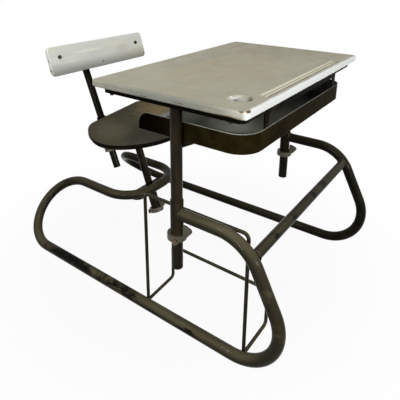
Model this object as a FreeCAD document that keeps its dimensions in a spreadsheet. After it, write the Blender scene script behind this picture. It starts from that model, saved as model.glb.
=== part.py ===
import FreeCAD, Part
import math
import os
import re
import Sketcher
from FreeCAD import Placement, Rotation, Vector

# School desk: tubular steel frame, height-adjustable top with a book tray,
# swivelling seat and sliding backrest. Millimetres, +Z up, +Y the way the
# pupil faces, +X the pupil's right hand ("near"), origin on the floor in the
# middle of the whole desk.

os.makedirs("parts", exist_ok=True)
doc = FreeCAD.newDocument("SchoolDesk")

SIZES = [
    ("tube_radius", 15, "frame tube, outside"),
    ("tube_wall", 2.5, "frame tube, wall"),
    ("track_half", 300.5, "middle of the desk to a runner's centre line"),
    ("post_y", 197.63, "desk posts in front of the origin"),
    ("join_gap", 0.3, "gap left between pieces that are welded or bolted"),
    ("running_gap", 0.05, "radial play of a post in its sleeve"),
    ("overrun", 4, "how far a cut runs past the surface it opens"),
    ("runner_back", 543.6, "post to the start of the rear bend"),
    ("front_bend_y", 159.3, "post to the centre of the lower front bend"),
    ("front_bend_radius", 116, "lower front bend, centre line"),
    ("front_lean", 26.6, "front tube from the vertical"),
    ("upper_bend_radius", 109.5, "upper front bend, centre line"),
    ("top_tube_height", 337, "top tube centre line"),
    ("rear_bend_radius", 117.8, "rear loop bend, centre line"),
    ("rear_lean", 47.6, "rear loop plane from the vertical"),
    ("rear_leg_end", 422.2, "post back to where the U tube starts"),
    ("u_bend_radius", 97, "bends of the rear U tube"),
    ("crossbar_radius", 12.5, "crossbar, outside"),
    ("crossbar_y", 202, "post to the crossbar"),
    ("crossbar_height", 297, "crossbar centre line"),
    ("crossbar_tilt", 40, "bent tube from the vertical where the bar meets it"),
    ("post_radius", 14, "desk posts, outside"),
    ("seat_post_radius", 12.5, "seat post, outside"),
    ("post_wall", 2.5, "posts, wall"),
    ("post_foot", 187, "lower end of the desk posts"),
    ("sleeve_radius", 16, "sleeves, outside"),
    ("sleeve_top", 371.5, "desk sleeve, upper end"),
    ("sleeve_foot", 270, "desk sleeve, lower end"),
    ("slit_width", 2.5, "slit in a sleeve"),
    ("slit_height", 42, "slit, length from the lower end"),
    ("collar_radius", 24, "collar, outside"),
    ("collar_height", 15, "collar ring, height"),
    ("collar_middle", 277.5, "desk collar, middle"),
    ("wing_thickness", 8, "collar wing"),
    ("wing_root", 14, "wing, where it leaves the collar"),
    ("wing_top", 33, "wing, highest point above the collar's middle"),
    ("wing_shoulder", 25, "wing, end of its level top"),
    ("wing_reach", 48, "wing, tip from the axis"),
    ("wing_tip_height", 26, "wing, tip above the collar's middle"),
    ("wing_heel", 34, "wing, lower corner from the axis"),
    ("wing_heel_height", 8, "wing, lower corner above the collar's middle"),
    ("wing_stand", 19.5, "wing, inner edge above the collar from the axis"),
    ("wing_tip_round", 7, "wing, rounded tip"),
    ("wing_shoulder_round", 12, "wing, rounded shoulder"),
    ("wing_round", 2.5, "wing, rounded rim"),
    ("bolt_radius", 4, "collar bolt, shank"),
    ("bolt_play", 0.15, "bolt in its bore"),
    ("bolt_head_radius", 7.5, "collar bolt, head across corners, half"),
    ("bolt_head_height", 5.5, "collar bolt, head"),
    ("bolt_angle", 26, "collar bolt, turned forward from the side"),
    ("bolt_drop", 3.5, "collar bolt below the collar's middle"),
    ("seat_collar_turn", 17, "seat collar, turned about its post"),
    ("socket_plate_top", 158.6, "seat socket plate, upper face"),
    ("socket_plate_thickness", 4, "seat socket plate"),
    ("socket_plate_half", 91.5, "seat socket plate, half width"),
    ("socket_plate_front", 327, "seat socket plate, front edge behind the posts"),
    ("socket_plate_back", 383, "seat socket plate, rear edge behind the posts"),
    ("socket_plate_round", 27, "seat socket plate, corners"),
    ("seat_lean", 19.5, "seat post from the vertical"),
    ("seat_sleeve_top", 168, "seat sleeve, axis height of the upper end"),
    ("seat_sleeve_length", 96, "seat sleeve"),
    ("seat_collar_offset", 9, "seat collar middle above the sleeve's lower end"),
    ("seat_post_foot", 73, "seat post end below the sleeve's upper end"),
    ("carrier_top", 369.4, "seat carrier bar, upper face"),
    ("carrier_thickness", 6, "seat carrier bar"),
    ("carrier_half", 20, "seat carrier bar, half width"),
    ("carrier_front", 318, "seat carrier bar, front end behind the posts"),
    ("pivot_y", 354, "seat pivot behind the posts"),
    ("disc_radius", 45, "swivel disc"),
    ("disc_thickness", 4.7, "swivel disc"),
    ("pivot_radius", 6, "pivot bolt"),
    ("pivot_length", 26, "pivot bolt below the strap"),
    ("pivot_nut_radius", 11, "pivot nut across corners, half"),
    ("pivot_nut_height", 8, "pivot nut"),
    ("seat_top", 388, "seat, flat part of the upper face"),
    ("seat_thickness", 9, "seat board"),
    ("seat_half", 199, "seat, half width"),
    ("seat_back", 130, "seat, rear edge behind its pivot"),
    ("seat_front", 120, "seat, front edge before its pivot"),
    ("seat_corner_radius", 80, "seat, rear corners in plan"),
    ("seat_side_radius", 140, "seat, sides in plan"),
    ("seat_lip_radius", 301, "seat, upward curve of the rear"),
    ("seat_lip_angle", 30, "seat, angle of that curve before the rear is trimmed"),
    ("seat_turn", 9.7, "seat, turned from straight ahead"),
    ("rim_inset", 5, "seat rim rod, inside the board's edge"),
    ("rim_width", 8, "seat rim rod"),
    ("rim_height", 7, "seat rim rod"),
    ("strap_half", 17, "seat strap, half width"),
    ("strap_thickness", 4, "seat strap"),
    ("seat_screw_radius", 2.5, "seat screws, shank"),
    ("seat_screw_head", 4.5, "seat screws, head radius"),
    ("seat_screw_head_height", 2.2, "seat screws, head"),
    ("seat_screw_depth", 6, "seat screws, depth in the board"),
    ("seat_screw_inner", 75, "seat screws, inner pair from the pivot"),
    ("seat_screw_outer", 145, "seat screws, outer pair from the pivot"),
    ("rest_lean", 21.3, "backrest tube from the vertical"),
    ("rest_axis_y", 582, "backrest tube axis behind the posts, at the height below"),
    ("rest_axis_height", 370, "height at which that distance is taken"),
    ("rest_tube_radius", 12.5, "backrest tube, outside"),
    ("rest_tube_wall", 2, "backrest tube, wall"),
    ("rest_tube_down", 191, "backrest tube, length below that point"),
    ("rest_tube_up", 253, "backrest tube, length above that point"),
    ("rest_sleeve_down", 128, "backrest sleeve, length below that point"),
    ("rest_sleeve_up", 2, "backrest sleeve, length above that point"),
    ("rest_collar_offset", 9, "backrest collar middle above the sleeve's lower end"),
    ("board_lean", 16.6, "backrest board from the vertical"),
    ("board_y", 559.9, "backrest board, front face middle behind the posts"),
    ("board_z", 609.7, "backrest board, front face middle"),
    ("board_half", 210, "backrest board, half width"),
    ("board_height", 91.2, "backrest board"),
    ("board_thickness", 12, "backrest board"),
    ("board_corner", 15, "backrest board, corner radius"),
    ("board_round", 2.5, "backrest board, rounded rim"),
    ("rest_bolt_x", 171, "backrest bolts from the middle"),
    ("rest_bolt_up", 10.7, "backrest bolts above the board's middle"),
    ("rest_bolt_radius", 3, "backrest bolts, shank"),
    ("rest_bolt_head", 6, "backrest bolts, head radius"),
    ("rest_bolt_head_height", 3, "backrest bolts, head"),
    ("rest_nut_radius", 5.7, "backrest nuts across corners, half"),
    ("rest_nut_height", 5, "backrest nuts"),
    ("bow_half", 203, "bow, half length"),
    ("bow_thickness", 4, "bow, flat steel"),
    ("bow_height", 25, "bow, flat steel"),
    ("bow_depth", 78.6, "bow, how far its middle stands back"),
    ("bow_middle_half", 30, "bow, straight middle, half"),
    ("bow_bend_radius", 25, "bow, bends"),
    ("bow_bend_angle", 45, "bow, angle of each bend"),
    ("top_height", 635, "desktop, upper face"),
    ("top_thickness", 18, "desktop board"),
    ("top_half", 337.3, "desktop, half width"),
    ("top_front", 194.6, "desktop, front edge before the posts"),
    ("top_back", 231.2, "desktop, pupil's edge behind the posts"),
    ("top_corner", 12, "desktop, corner radius"),
    ("top_round", 5, "desktop, rounded edges"),
    ("inkwell_x", 262, "inkwell hole from the middle"),
    ("inkwell_y", 140, "inkwell hole before the posts"),
    ("inkwell_radius", 23.5, "inkwell hole"),
    ("inkwell_chamfer", 1.5, "inkwell hole, broken edge"),
    ("groove_y", 169, "pen groove before the posts"),
    ("groove_half", 223, "pen groove, half length"),
    ("groove_radius", 9.5, "pen groove, hollow radius"),
    ("groove_centre_up", 4.5, "pen groove, centre of the hollow above the top"),
    ("edge_half", 320.3, "edge frame, outside, half width"),
    ("edge_front", 179, "edge frame, outside, before the posts"),
    ("edge_back", 209.5, "edge frame, outside, behind the posts"),
    ("edge_height", 14, "edge frame, flat steel"),
    ("edge_thickness", 5, "edge frame, flat steel"),
    ("edge_round", 14, "edge frame, outside corners"),
    ("screw_radius", 1.8, "desktop screws, shank"),
    ("screw_head", 4.5, "desktop screws, head radius"),
    ("screw_head_height", 3, "desktop screws, head"),
    ("screw_depth", 12, "desktop screws, depth in the board"),
    ("screw_back", 180, "rear pair of desktop screws behind the posts"),
    ("screw_front", 150, "front pair of desktop screws before the posts"),
    ("head_plate_thickness", 4, "post head plate"),
    ("head_plate_width", 46, "post head plate, across the desk"),
    ("head_plate_length", 76, "post head plate, along the desk"),
    ("head_screw_y", 28, "head plate screws from the post"),
    ("tray_inset", 14.5, "tray, sides in from the posts' middle"),
    ("tray_front", 176, "tray, outside, before the posts"),
    ("tray_back", 126, "tray, pupil's edge behind the posts"),
    ("tray_floor", 517.5, "tray, underside"),
    ("tray_height", 45.5, "tray, height of the walls"),
    ("tray_wall", 2, "tray, sheet"),
    ("tray_corner", 55, "tray, front corners in plan"),
    ("tray_end_round", 33, "tray, rounded end of the side walls"),
    ("tray_lip", 12, "tray, raised lip at the pupil's edge"),
    ("tray_bead", 3.2, "tray, rolled edge of the lip"),
    ("gusset_thickness", 8, "post gusset"),
    ("gusset_inset", 10.5, "post gusset, outer face in from the post's middle"),
    ("gusset_reach", 38, "post gusset, tip before the post"),
    ("gusset_drop", 20, "post gusset, height at the post"),
    ("hanger_x", 207, "tray hanger legs from the middle"),
    ("hanger_width", 21, "tray hanger legs"),
    ("hanger_thickness", 3, "tray hanger, flat steel"),
    ("hanger_rail", 9, "tray hanger, height of the cross rail"),
    ("hanger_rail_down", 36, "tray hanger, cross rail below the desktop's face"),
    ("hanger_overlap", 26, "tray hanger legs, length inside the tray"),
    ("side_bolt_y", 112, "tray side bolt before the posts"),
    ("side_bolt_down", 12, "tray side bolt below the rim"),
    ("side_bolt_radius", 3, "tray side bolt, shank"),
    ("side_bolt_head", 6, "tray side bolt, head radius"),
    ("side_bolt_head_height", 3.5, "tray side bolt, head"),
    ("rack_wire_radius", 4.5, "satchel rack wire"),
    ("rack_height", 339, "rack, tall wire"),
    ("rack_bend", 14, "rack, bends of the tall wire"),
    ("rack_front", 181.5, "rack, front upright before the posts"),
    ("rack_back", 120, "rack, rear upright behind the posts"),
    ("rack_foot", 5.5, "rack, lower end of the tall wire"),
    ("rack_low_inset", 164, "low wire from the middle"),
    ("rack_low_height", 114, "low wire"),
    ("rack_low_foot", 8, "low wire, where it leaves the runner"),
    ("rack_low_bend", 11, "low wire, bends"),
    ("rack_skew", 4.5, "low wire, rear corner behind the tall wire"),
]

sheet = doc.addObject("Spreadsheet::Sheet", "Sizes")
for row, (alias, amount, note) in enumerate(SIZES, 1):
    sheet.set("A%d" % row, alias)
    sheet.set("B%d" % row, str(amount))
    sheet.set("C%d" % row, note)
    sheet.setAlias("B%d" % row, alias)
doc.recompute()

ALIASES = [alias for alias, amount, note in SIZES]
ALIAS_PATTERN = re.compile(r"\b(" + "|".join(sorted(ALIASES, key=len, reverse=True)) + r")\b")


def bound(text):
    """The expression with every size read from the sheet."""
    return ALIAS_PATTERN.sub(r"Sizes.\1", str(text))


def amount_of(text):
    """The number an expression gives now."""
    found = sheet.evalExpression(bound(text))
    return float(getattr(found, "Value", found))


def bind(thing, prop, text):
    thing.setExpression(prop, bound(text))


def place(piece, x="0", y="0", z="0", axis=None, angle="0"):
    """Put a piece: its origin from expressions, turned about one axis."""
    turn = Rotation(axis, amount_of(angle)) if axis else Rotation()
    piece.Placement = Placement(Vector(amount_of(x), amount_of(y), amount_of(z)), turn)
    for letter, text in (("x", x), ("y", y), ("z", z)):
        bind(piece, "Placement.Base." + letter, text)
    if axis:
        bind(piece, "Placement.Rotation.Angle", angle)


PIECES = []


def new_body(label):
    body = doc.addObject("PartDesign::Body", "Body_" + label)
    body.Label = label
    PIECES.append(body)
    return body


def sketch_on(body, role, lift="0", turn_axis=None, turn="0"):
    """A sketch on one of the body's own planes, lifted along its normal."""
    plane = [f for f in body.Origin.OriginFeatures if f.Role == role][0]
    sketch = body.newObject("Sketcher::SketchObject", "Sketch")
    sketch.AttachmentSupport = [(plane, "")]
    sketch.MapMode = "FlatFace"
    rotation = Rotation(turn_axis, amount_of(turn)) if turn_axis else Rotation()
    sketch.AttachmentOffset = Placement(Vector(0, 0, amount_of(lift)), rotation)
    if turn_axis:
        bind(sketch, "AttachmentOffset.Rotation.Angle", turn)
    else:
        bind(sketch, "AttachmentOffset.Base.z", lift)
    return sketch


def fix_point(sketch, element, end, x, y):
    """Bind one point of a sketch to expressions for its two coordinates."""
    for kind, text in (("DistanceX", x), ("DistanceY", y)):
        size = amount_of(text)
        if abs(size) < 1e-9 and re.fullmatch(r"0", str(text)):
            axis = -2 if kind == "DistanceX" else -1
            sketch.addConstraint(Sketcher.Constraint("PointOnObject", element, end, axis))
        else:
            number = sketch.addConstraint(Sketcher.Constraint(kind, element, end, size))
            sketch.setExpression("Constraints[%d]" % number, bound(text))


def draw_polygon(sketch, corners):
    """A closed outline; every corner is a pair of expressions."""
    points = [Vector(amount_of(x), amount_of(y), 0) for x, y in corners]
    count = len(points)
    first = sketch.GeometryCount
    for i in range(count):
        sketch.addGeometry(Part.LineSegment(points[i], points[(i + 1) % count]), False)
    for i in range(count):
        following = first + (i + 1) % count
        sketch.addConstraint(Sketcher.Constraint("Coincident", first + i, 2, following, 1))
    for i, (x, y) in enumerate(corners):
        fix_point(sketch, first + i, 1, x, y)


def draw_rectangle(sketch, left, right, low, high):
    draw_polygon(sketch, [(left, low), (right, low), (right, high), (left, high)])


def draw_tray_plan(sketch, side, low, high, radius):
    """A rectangle about the Y axis whose two high corners are rounded."""
    across = "(%s) - (%s)" % (side, radius)
    up = "(%s) - (%s)" % (high, radius)
    corners = [
        ("-(%s)" % side, low), (side, low), (side, up), (across, high),
        ("-(%s)" % across, high), ("-(%s)" % side, up),
    ]
    points = [Vector(amount_of(x), amount_of(y), 0) for x, y in corners]
    share = math.sqrt(0.5)
    reach = amount_of(radius) * share
    first = sketch.GeometryCount
    for i in range(len(points)):
        start, stop = points[i], points[(i + 1) % len(points)]
        if i in (2, 4):
            side_sign = 1 if i == 2 else -1
            middle = Vector(side_sign * (amount_of(across) + reach), amount_of(up) + reach, 0)
            sketch.addGeometry(Part.Arc(start, middle, stop), False)
        else:
            sketch.addGeometry(Part.LineSegment(start, stop), False)
    for i in range(len(points)):
        following = first + (i + 1) % len(points)
        sketch.addConstraint(Sketcher.Constraint("Coincident", first + i, 2, following, 1))
    for i in (0, 1, 3, 5):
        fix_point(sketch, first + i, 1, corners[i][0], corners[i][1])
    fix_point(sketch, first + 2, 3, across, up)
    fix_point(sketch, first + 4, 3, "-(%s)" % across, up)


def draw_circle(sketch, radius, x="0", y="0"):
    middle = Vector(amount_of(x), amount_of(y), 0)
    circle = sketch.addGeometry(Part.Circle(middle, Vector(0, 0, 1), amount_of(radius)), False)
    number = sketch.addConstraint(Sketcher.Constraint("Radius", circle, amount_of(radius)))
    sketch.setExpression("Constraints[%d]" % number, bound(radius))
    fix_point(sketch, circle, 3, x, y)


def draw_hexagon(sketch, radius):
    """A hexagon about the sketch's origin, by its corner radius."""
    corners = []
    for i in range(6):
        corners.append(("%s * cos(%d)" % (radius, 60 * i + 30), "%s * sin(%d)" % (radius, 60 * i + 30)))
    draw_polygon(sketch, corners)


def draw_path(sketch, heading, steps):
    """Lines and tangent arcs from the sketch's origin.

    A step is ("line", length) or ("arc", radius, turn); a positive turn is
    to the left. A path that starts with an arc heads along the Y axis.
    """
    place_now = Vector(0, 0, 0)
    bearing = heading
    last = None
    for step in steps:
        direction = Rotation(Vector(0, 0, 1), bearing).multVec(Vector(1, 0, 0))
        if step[0] == "line":
            length = amount_of(step[1])
            ahead = place_now + direction * length
            element = sketch.addGeometry(Part.LineSegment(place_now, ahead), False)
            number = sketch.addConstraint(Sketcher.Constraint("Distance", element, length))
            sketch.setExpression("Constraints[%d]" % number, bound(step[1]))
            start, stop = 1, 2
        else:
            radius, turn = amount_of(step[1]), amount_of(step[2])
            side = 1 if turn > 0 else -1
            normal = Rotation(Vector(0, 0, 1), bearing + 90 * side).multVec(Vector(1, 0, 0))
            centre = place_now + normal * radius
            half = Rotation(Vector(0, 0, 1), turn / 2)
            whole = Rotation(Vector(0, 0, 1), turn)
            middle = centre + half.multVec(place_now - centre)
            ahead = centre + whole.multVec(place_now - centre)
            arc = Part.Arc(place_now, middle, ahead)
            element = sketch.addGeometry(arc, False)
            if last is None:
                across = -side * math.sin(math.radians(heading))
                fix_point(sketch, element, 3, "%d * %s" % (across, step[1]), "0")
            else:
                number = sketch.addConstraint(Sketcher.Constraint("Radius", element, radius))
                sketch.setExpression("Constraints[%d]" % number, bound(step[1]))
            opened = math.radians(abs(turn))
            number = sketch.addConstraint(Sketcher.Constraint("Angle", element, opened))
            sketch.setExpression("Constraints[%d]" % number, bound("abs(%s) * 1 deg" % step[2]))
            start, stop = (1, 2) if side > 0 else (2, 1)
            bearing += turn
        if last is None:
            sketch.addConstraint(Sketcher.Constraint("Coincident", element, start, -1, 1))
            if step[0] == "line":
                kind = "Horizontal" if heading % 180 == 0 else "Vertical"
                sketch.addConstraint(Sketcher.Constraint(kind, element))
        else:
            sketch.addConstraint(Sketcher.Constraint("Tangent", last[0], last[1], element, start))
        last = (element, stop)
        place_now = ahead


def pad(body, sketch, length, both=False, backward=False):
    feature = body.newObject("PartDesign::Pad", "Pad")
    feature.Profile = sketch
    feature.Length = amount_of(length)
    bind(feature, "Length", length)
    feature.Midplane = both
    feature.Reversed = backward
    sketch.Visibility = False
    doc.recompute()
    return feature


def pocket(body, sketch, length, both=False, backward=False):
    """Cut a sketch into a body; it must take material away."""
    before = body.Shape.Volume
    feature = body.newObject("PartDesign::Pocket", "Pocket")
    feature.Profile = sketch
    feature.Length = amount_of(length)
    bind(feature, "Length", length)
    feature.Midplane = both
    feature.Reversed = backward
    doc.recompute()
    if not body.Shape.Volume < before - 1e-6:
        raise RuntimeError("a pocket cuts nothing in " + body.Label)
    return feature


def round_edges(body, radius, test):
    """Fillet the edges of the body for which the test holds."""
    base = body.Tip
    names = []
    for number, edge in enumerate(base.Shape.Edges, 1):
        if test(edge):
            names.append("Edge%d" % number)
    if not names:
        raise RuntimeError("no edges to round in " + body.Label)
    feature = body.newObject("PartDesign::Fillet", "Fillet")
    feature.Base = (base, names)
    feature.Radius = amount_of(radius)
    bind(feature, "Radius", radius)
    doc.recompute()
    return feature


def is_straight(edge):
    return edge.Curve.TypeId == "Part::GeomLine"


def runs_along(edge, direction):
    """Whether an edge is a straight line in the given direction."""
    if not is_straight(edge):
        return False
    along = edge.Vertexes[-1].Point - edge.Vertexes[0].Point
    return along.normalize().cross(direction).Length < 1e-6


def middle_of(edge):
    return edge.valueAt((edge.FirstParameter + edge.LastParameter) / 2)


def sweep(body, plane, heading, steps, profile_plane, radius, hollow=None, size=None):
    """A bent tube, rod or flat bar: a profile carried along a flat path."""
    path = sketch_on(body, plane)
    draw_path(path, heading, steps)
    profile = sketch_on(body, profile_plane)
    if size:
        wide, tall = size
        draw_rectangle(profile, "-(%s) / 2" % wide, "(%s) / 2" % wide, "-(%s) / 2" % tall, "(%s) / 2" % tall)
    else:
        draw_circle(profile, radius)
        if hollow:
            draw_circle(profile, "%s - %s" % (radius, hollow))
    doc.recompute()
    feature = body.newObject("PartDesign::AdditivePipe", "Pipe")
    feature.Profile = profile
    feature.Spine = (path, ["Edge%d" % (i + 1) for i in range(len(steps))])
    feature.Mode = "Standard"
    path.Visibility = False
    profile.Visibility = False
    doc.recompute()
    return feature


X_AXIS = Vector(1, 0, 0)
Y_AXIS = Vector(0, 1, 0)
Z_AXIS = Vector(0, 0, 1)


def side_tube(label, side):
    """Runner, lower front bend, front tube, upper bend and top tube."""
    body = new_body(label)
    front_tube = "((top_tube_height - tube_radius - front_bend_radius * (1 + sin(front_lean))" \
                 " - upper_bend_radius * (1 - sin(front_lean))) / cos(front_lean))"
    top_tube = "(front_bend_y + front_bend_radius * cos(front_lean) - %s * sin(front_lean)" \
               " - upper_bend_radius * cos(front_lean) - overrun)" % front_tube
    steps = [
        ("line", "runner_back + front_bend_y"),
        ("arc", "front_bend_radius", "90 + front_lean"),
        ("line", front_tube),
        ("arc", "upper_bend_radius", "90 - front_lean"),
        ("line", top_tube),
    ]
    sweep(body, "YZ_Plane", 0, steps, "XZ_Plane", "tube_radius", "tube_wall")
    saddle = sketch_on(body, "XY_Plane", "top_tube_height - 2 * tube_radius - overrun")
    draw_circle(saddle, "sleeve_radius + join_gap", "0", "runner_back")
    pocket(body, saddle, "2 * (tube_radius + overrun)", backward=True)
    place(body, "%d * track_half" % side, "post_y - runner_back", "tube_radius")


def rear_loop(label, side):
    """From the runner's rear end up and inward to the leg of the U tube."""
    body = new_body(label)
    steps = [
        ("arc", "rear_bend_radius", "180"),
        ("line", "runner_back - rear_leg_end"),
    ]
    sweep(body, "XY_Plane", -90, steps, "XZ_Plane", "tube_radius", "tube_wall")
    place(body, "%d * track_half" % side, "post_y - runner_back - join_gap", "tube_radius",
          Y_AXIS, "-90 - %d * rear_lean" % side)


LEG_X = "(track_half - 2 * rear_bend_radius * sin(rear_lean))"
LEG_Z = "(tube_radius + 2 * rear_bend_radius * cos(rear_lean))"
SEAT_AXIS_Y = "(u_bend_radius - rear_leg_end - (tube_radius + sleeve_radius + join_gap) / cos(seat_lean))"
SEAT_SLEEVE_Y = "post_y + %s + (%s - seat_sleeve_top) * tan(seat_lean)" % (SEAT_AXIS_Y, LEG_Z)


def rear_u_tube():
    """The U that joins the two rear loops and carries the seat socket."""
    body = new_body("rear_u_tube")
    steps = [
        ("arc", "u_bend_radius", "90"),
        ("line", "2 * (%s - u_bend_radius)" % LEG_X),
        ("arc", "u_bend_radius", "90"),
    ]
    sweep(body, "XY_Plane", 90, steps, "XZ_Plane", "tube_radius", "tube_wall")
    place(body, LEG_X, "post_y - rear_leg_end", LEG_Z)


def crossbar():
    """Tube between the upper front bends, its ends coped round them."""
    body = new_body("crossbar")
    profile = sketch_on(body, "YZ_Plane")
    draw_circle(profile, "crossbar_radius")
    draw_circle(profile, "crossbar_radius - tube_wall")
    pad(body, profile, "2 * track_half", both=True)
    cope = sketch_on(body, "XY_Plane")
    draw_circle(cope, "tube_radius + 3 * join_gap", "track_half")
    draw_circle(cope, "tube_radius + 3 * join_gap", "-track_half")
    pocket(body, cope, "2 * (crossbar_radius + overrun)", both=True)
    place(body, "0", "post_y + crossbar_y", "crossbar_height", X_AXIS, "crossbar_tilt")


def tube_between(body, radius, bore, low, high):
    """A straight tube on the body's Z axis."""
    profile = sketch_on(body, "XY_Plane", low)
    draw_circle(profile, radius)
    draw_circle(profile, bore)
    return pad(body, profile, "(%s) - (%s)" % (high, low))


def cut_slit(body, low, forward=1):
    """A slit in the lower end of a sleeve, on its front or its back."""
    slit = sketch_on(body, "XZ_Plane")
    draw_rectangle(slit, "-slit_width / 2", "slit_width / 2", "%s - overrun" % low, "%s + slit_height" % low)
    pocket(body, slit, "sleeve_radius + overrun", backward=forward < 0)


def desk_sleeve(label, side):
    body = new_body(label)
    tube_between(body, "sleeve_radius", "post_radius + running_gap", "sleeve_foot", "sleeve_top")
    cut_slit(body, "sleeve_foot")
    place(body, "%d * track_half" % side, "post_y", "0")


def collar(label, wing_side, bolt_turn):
    """Clamp collar: a ring with a wing, and a bore for its bolt."""
    body = new_body(label)
    ring = sketch_on(body, "XY_Plane", "-collar_height / 2")
    draw_circle(ring, "collar_radius")
    pad(body, ring, "collar_height")
    wing = sketch_on(body, "YZ_Plane")
    corners = [
        ("wing_root", "-collar_height / 2"),
        ("wing_heel", "wing_heel_height"),
        ("wing_reach", "wing_tip_height"),
        ("wing_shoulder", "wing_top"),
        ("wing_stand", "wing_top"),
        ("wing_stand", "0"),
        ("wing_root", "0"),
    ]
    draw_polygon(wing, [("%d * (%s)" % (wing_side, y), z) for y, z in corners])
    pad(body, wing, "wing_thickness", both=True)
    for radius, reach in (("wing_tip_round", "wing_reach"), ("wing_shoulder_round", "wing_shoulder")):
        round_edges(body, radius, lambda e: runs_along(e, X_AXIS)
                    and abs(abs(middle_of(e).y) - amount_of(reach)) < 1e-3)
    round_edges(body, "wing_round", lambda e: abs(middle_of(e).y) > amount_of("collar_radius")
                and abs(abs(middle_of(e).x) - amount_of("wing_thickness / 2")) < 1e-3)
    bore = sketch_on(body, "XY_Plane", "-collar_height")
    draw_circle(bore, "sleeve_radius + join_gap")
    pocket(body, bore, "collar_height + wing_top + overrun", backward=True)
    thread = sketch_on(body, "YZ_Plane", turn_axis=Y_AXIS, turn=bolt_turn)
    draw_circle(thread, "bolt_radius + bolt_play", "0", "-bolt_drop")
    pocket(body, thread, "collar_radius + overrun", backward=True)
    return body


def collar_bolt(label):
    """Hexagon bolt that screws radially into a collar, along local X."""
    body = new_body(label)
    shank = sketch_on(body, "YZ_Plane", "sleeve_radius + join_gap")
    draw_circle(shank, "bolt_radius")
    pad(body, shank, "collar_radius - sleeve_radius + join_gap")
    head = sketch_on(body, "YZ_Plane", "collar_radius + join_gap")
    draw_hexagon(head, "bolt_head_radius")
    pad(body, head, "bolt_head_height")
    return body


def place_on_axis(body, y, z, lean, turn):
    """Put a piece on a leaning axis, turned about that axis."""
    rotation = Rotation(X_AXIS, amount_of(lean)).multiply(Rotation(Z_AXIS, amount_of(turn)))
    body.Placement = Placement(Vector(0, amount_of(y), amount_of(z)), rotation)
    bind(body, "Placement.Base.y", y)
    bind(body, "Placement.Base.z", z)


def desk_collars():
    for label, side, turn in (("near", 1, "bolt_angle"), ("far", -1, "180 - bolt_angle")):
        ring = collar(label + "_post_collar", 1, turn)
        place(ring, "%d * track_half" % side, "post_y", "collar_middle")
        bolt = collar_bolt(label + "_collar_bolt")
        place(bolt, "%d * track_half" % side, "post_y", "collar_middle - bolt_drop", Z_AXIS, turn)


def seat_socket():
    """Plate under the rear U and the inclined sleeve that stands in it."""
    plate = new_body("seat_socket_plate")
    outline = sketch_on(plate, "XY_Plane")
    draw_rectangle(outline, "-socket_plate_half", "socket_plate_half",
                   "-socket_plate_back", "-socket_plate_front")
    pad(plate, outline, "socket_plate_thickness", backward=True)
    round_edges(plate, "socket_plate_round", lambda e: runs_along(e, Z_AXIS))
    opening = sketch_on(plate, "XY_Plane")
    hole = "(sleeve_radius + join_gap) / cos(seat_lean) + socket_plate_thickness / 2 * tan(seat_lean)"
    middle = "(socket_plate_top - socket_plate_thickness / 2)"
    draw_circle(opening, hole, "0", "%s + (%s - %s) * tan(seat_lean)" % (SEAT_AXIS_Y, LEG_Z, middle))
    pocket(plate, opening, "socket_plate_thickness + overrun")
    place(plate, "0", "post_y", "socket_plate_top")

    sleeve = new_body("seat_socket_sleeve")
    tube_between(sleeve, "sleeve_radius", "seat_post_radius + running_gap", "-seat_sleeve_length", "0")
    cut_slit(sleeve, "-seat_sleeve_length")
    place(sleeve, "0", SEAT_SLEEVE_Y, "seat_sleeve_top", X_AXIS, "seat_lean")

    middle = "(seat_sleeve_length - seat_collar_offset)"
    ring_y = SEAT_SLEEVE_Y + " + %s * sin(seat_lean)" % middle
    ring_z = "seat_sleeve_top - %s * cos(seat_lean)" % middle
    ring = collar("seat_collar", 1, "bolt_angle - 90")
    place_on_axis(ring, ring_y, ring_z, "seat_lean", "seat_collar_turn")
    bolt = collar_bolt("seat_collar_bolt")
    place_on_axis(bolt, ring_y + " + bolt_drop * sin(seat_lean)", ring_z + " - bolt_drop * cos(seat_lean)",
                  "seat_lean", "seat_collar_turn + bolt_angle - 90")


def satchel_rack():
    """Bent wires beside the near runner that hold a satchel upright."""
    tall = new_body("satchel_rack_tall_wire")
    rise = "rack_height - rack_foot - rack_bend"
    steps = [
        ("line", rise),
        ("arc", "rack_bend", "-90"),
        ("line", "rack_front + rack_back - 2 * rack_bend"),
        ("arc", "rack_bend", "-90"),
        ("line", rise),
    ]
    sweep(tall, "YZ_Plane", 90, steps, "XY_Plane", "rack_wire_radius")
    tall_x = "track_half - sleeve_radius - join_gap - rack_wire_radius"
    place(tall, tall_x, "post_y - rack_back", "rack_foot")

    low = doc.addObject("Part::Feature", "satchel_rack_low_wire")
    low.Label = "satchel_rack_low_wire"
    PIECES.append(low)
    start_x = amount_of(tall_x + " - rack_wire_radius - join_gap")
    inset = amount_of("rack_low_inset")
    back, front = amount_of("-rack_back"), amount_of("rack_front")
    foot, height = amount_of("rack_low_foot"), amount_of("rack_low_height")
    skew = amount_of("rack_skew")
    corners = [
        Vector(start_x, back, foot),
        Vector(inset, back - skew, foot),
        Vector(inset, back - skew, height),
        Vector(inset, front, height),
        Vector(inset, front, foot),
        Vector(start_x, front, foot),
    ]
    wire = rounded_wire(corners, amount_of("rack_low_bend"))
    radius = amount_of("rack_wire_radius")
    start_direction = (corners[1] - corners[0]).normalize()
    circle = Part.Wire([Part.makeCircle(radius, corners[0], start_direction)])
    low.Shape = wire.makePipeShell([circle], True, False)
    low.Placement = Placement(Vector(0, amount_of("post_y"), 0), Rotation())


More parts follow.
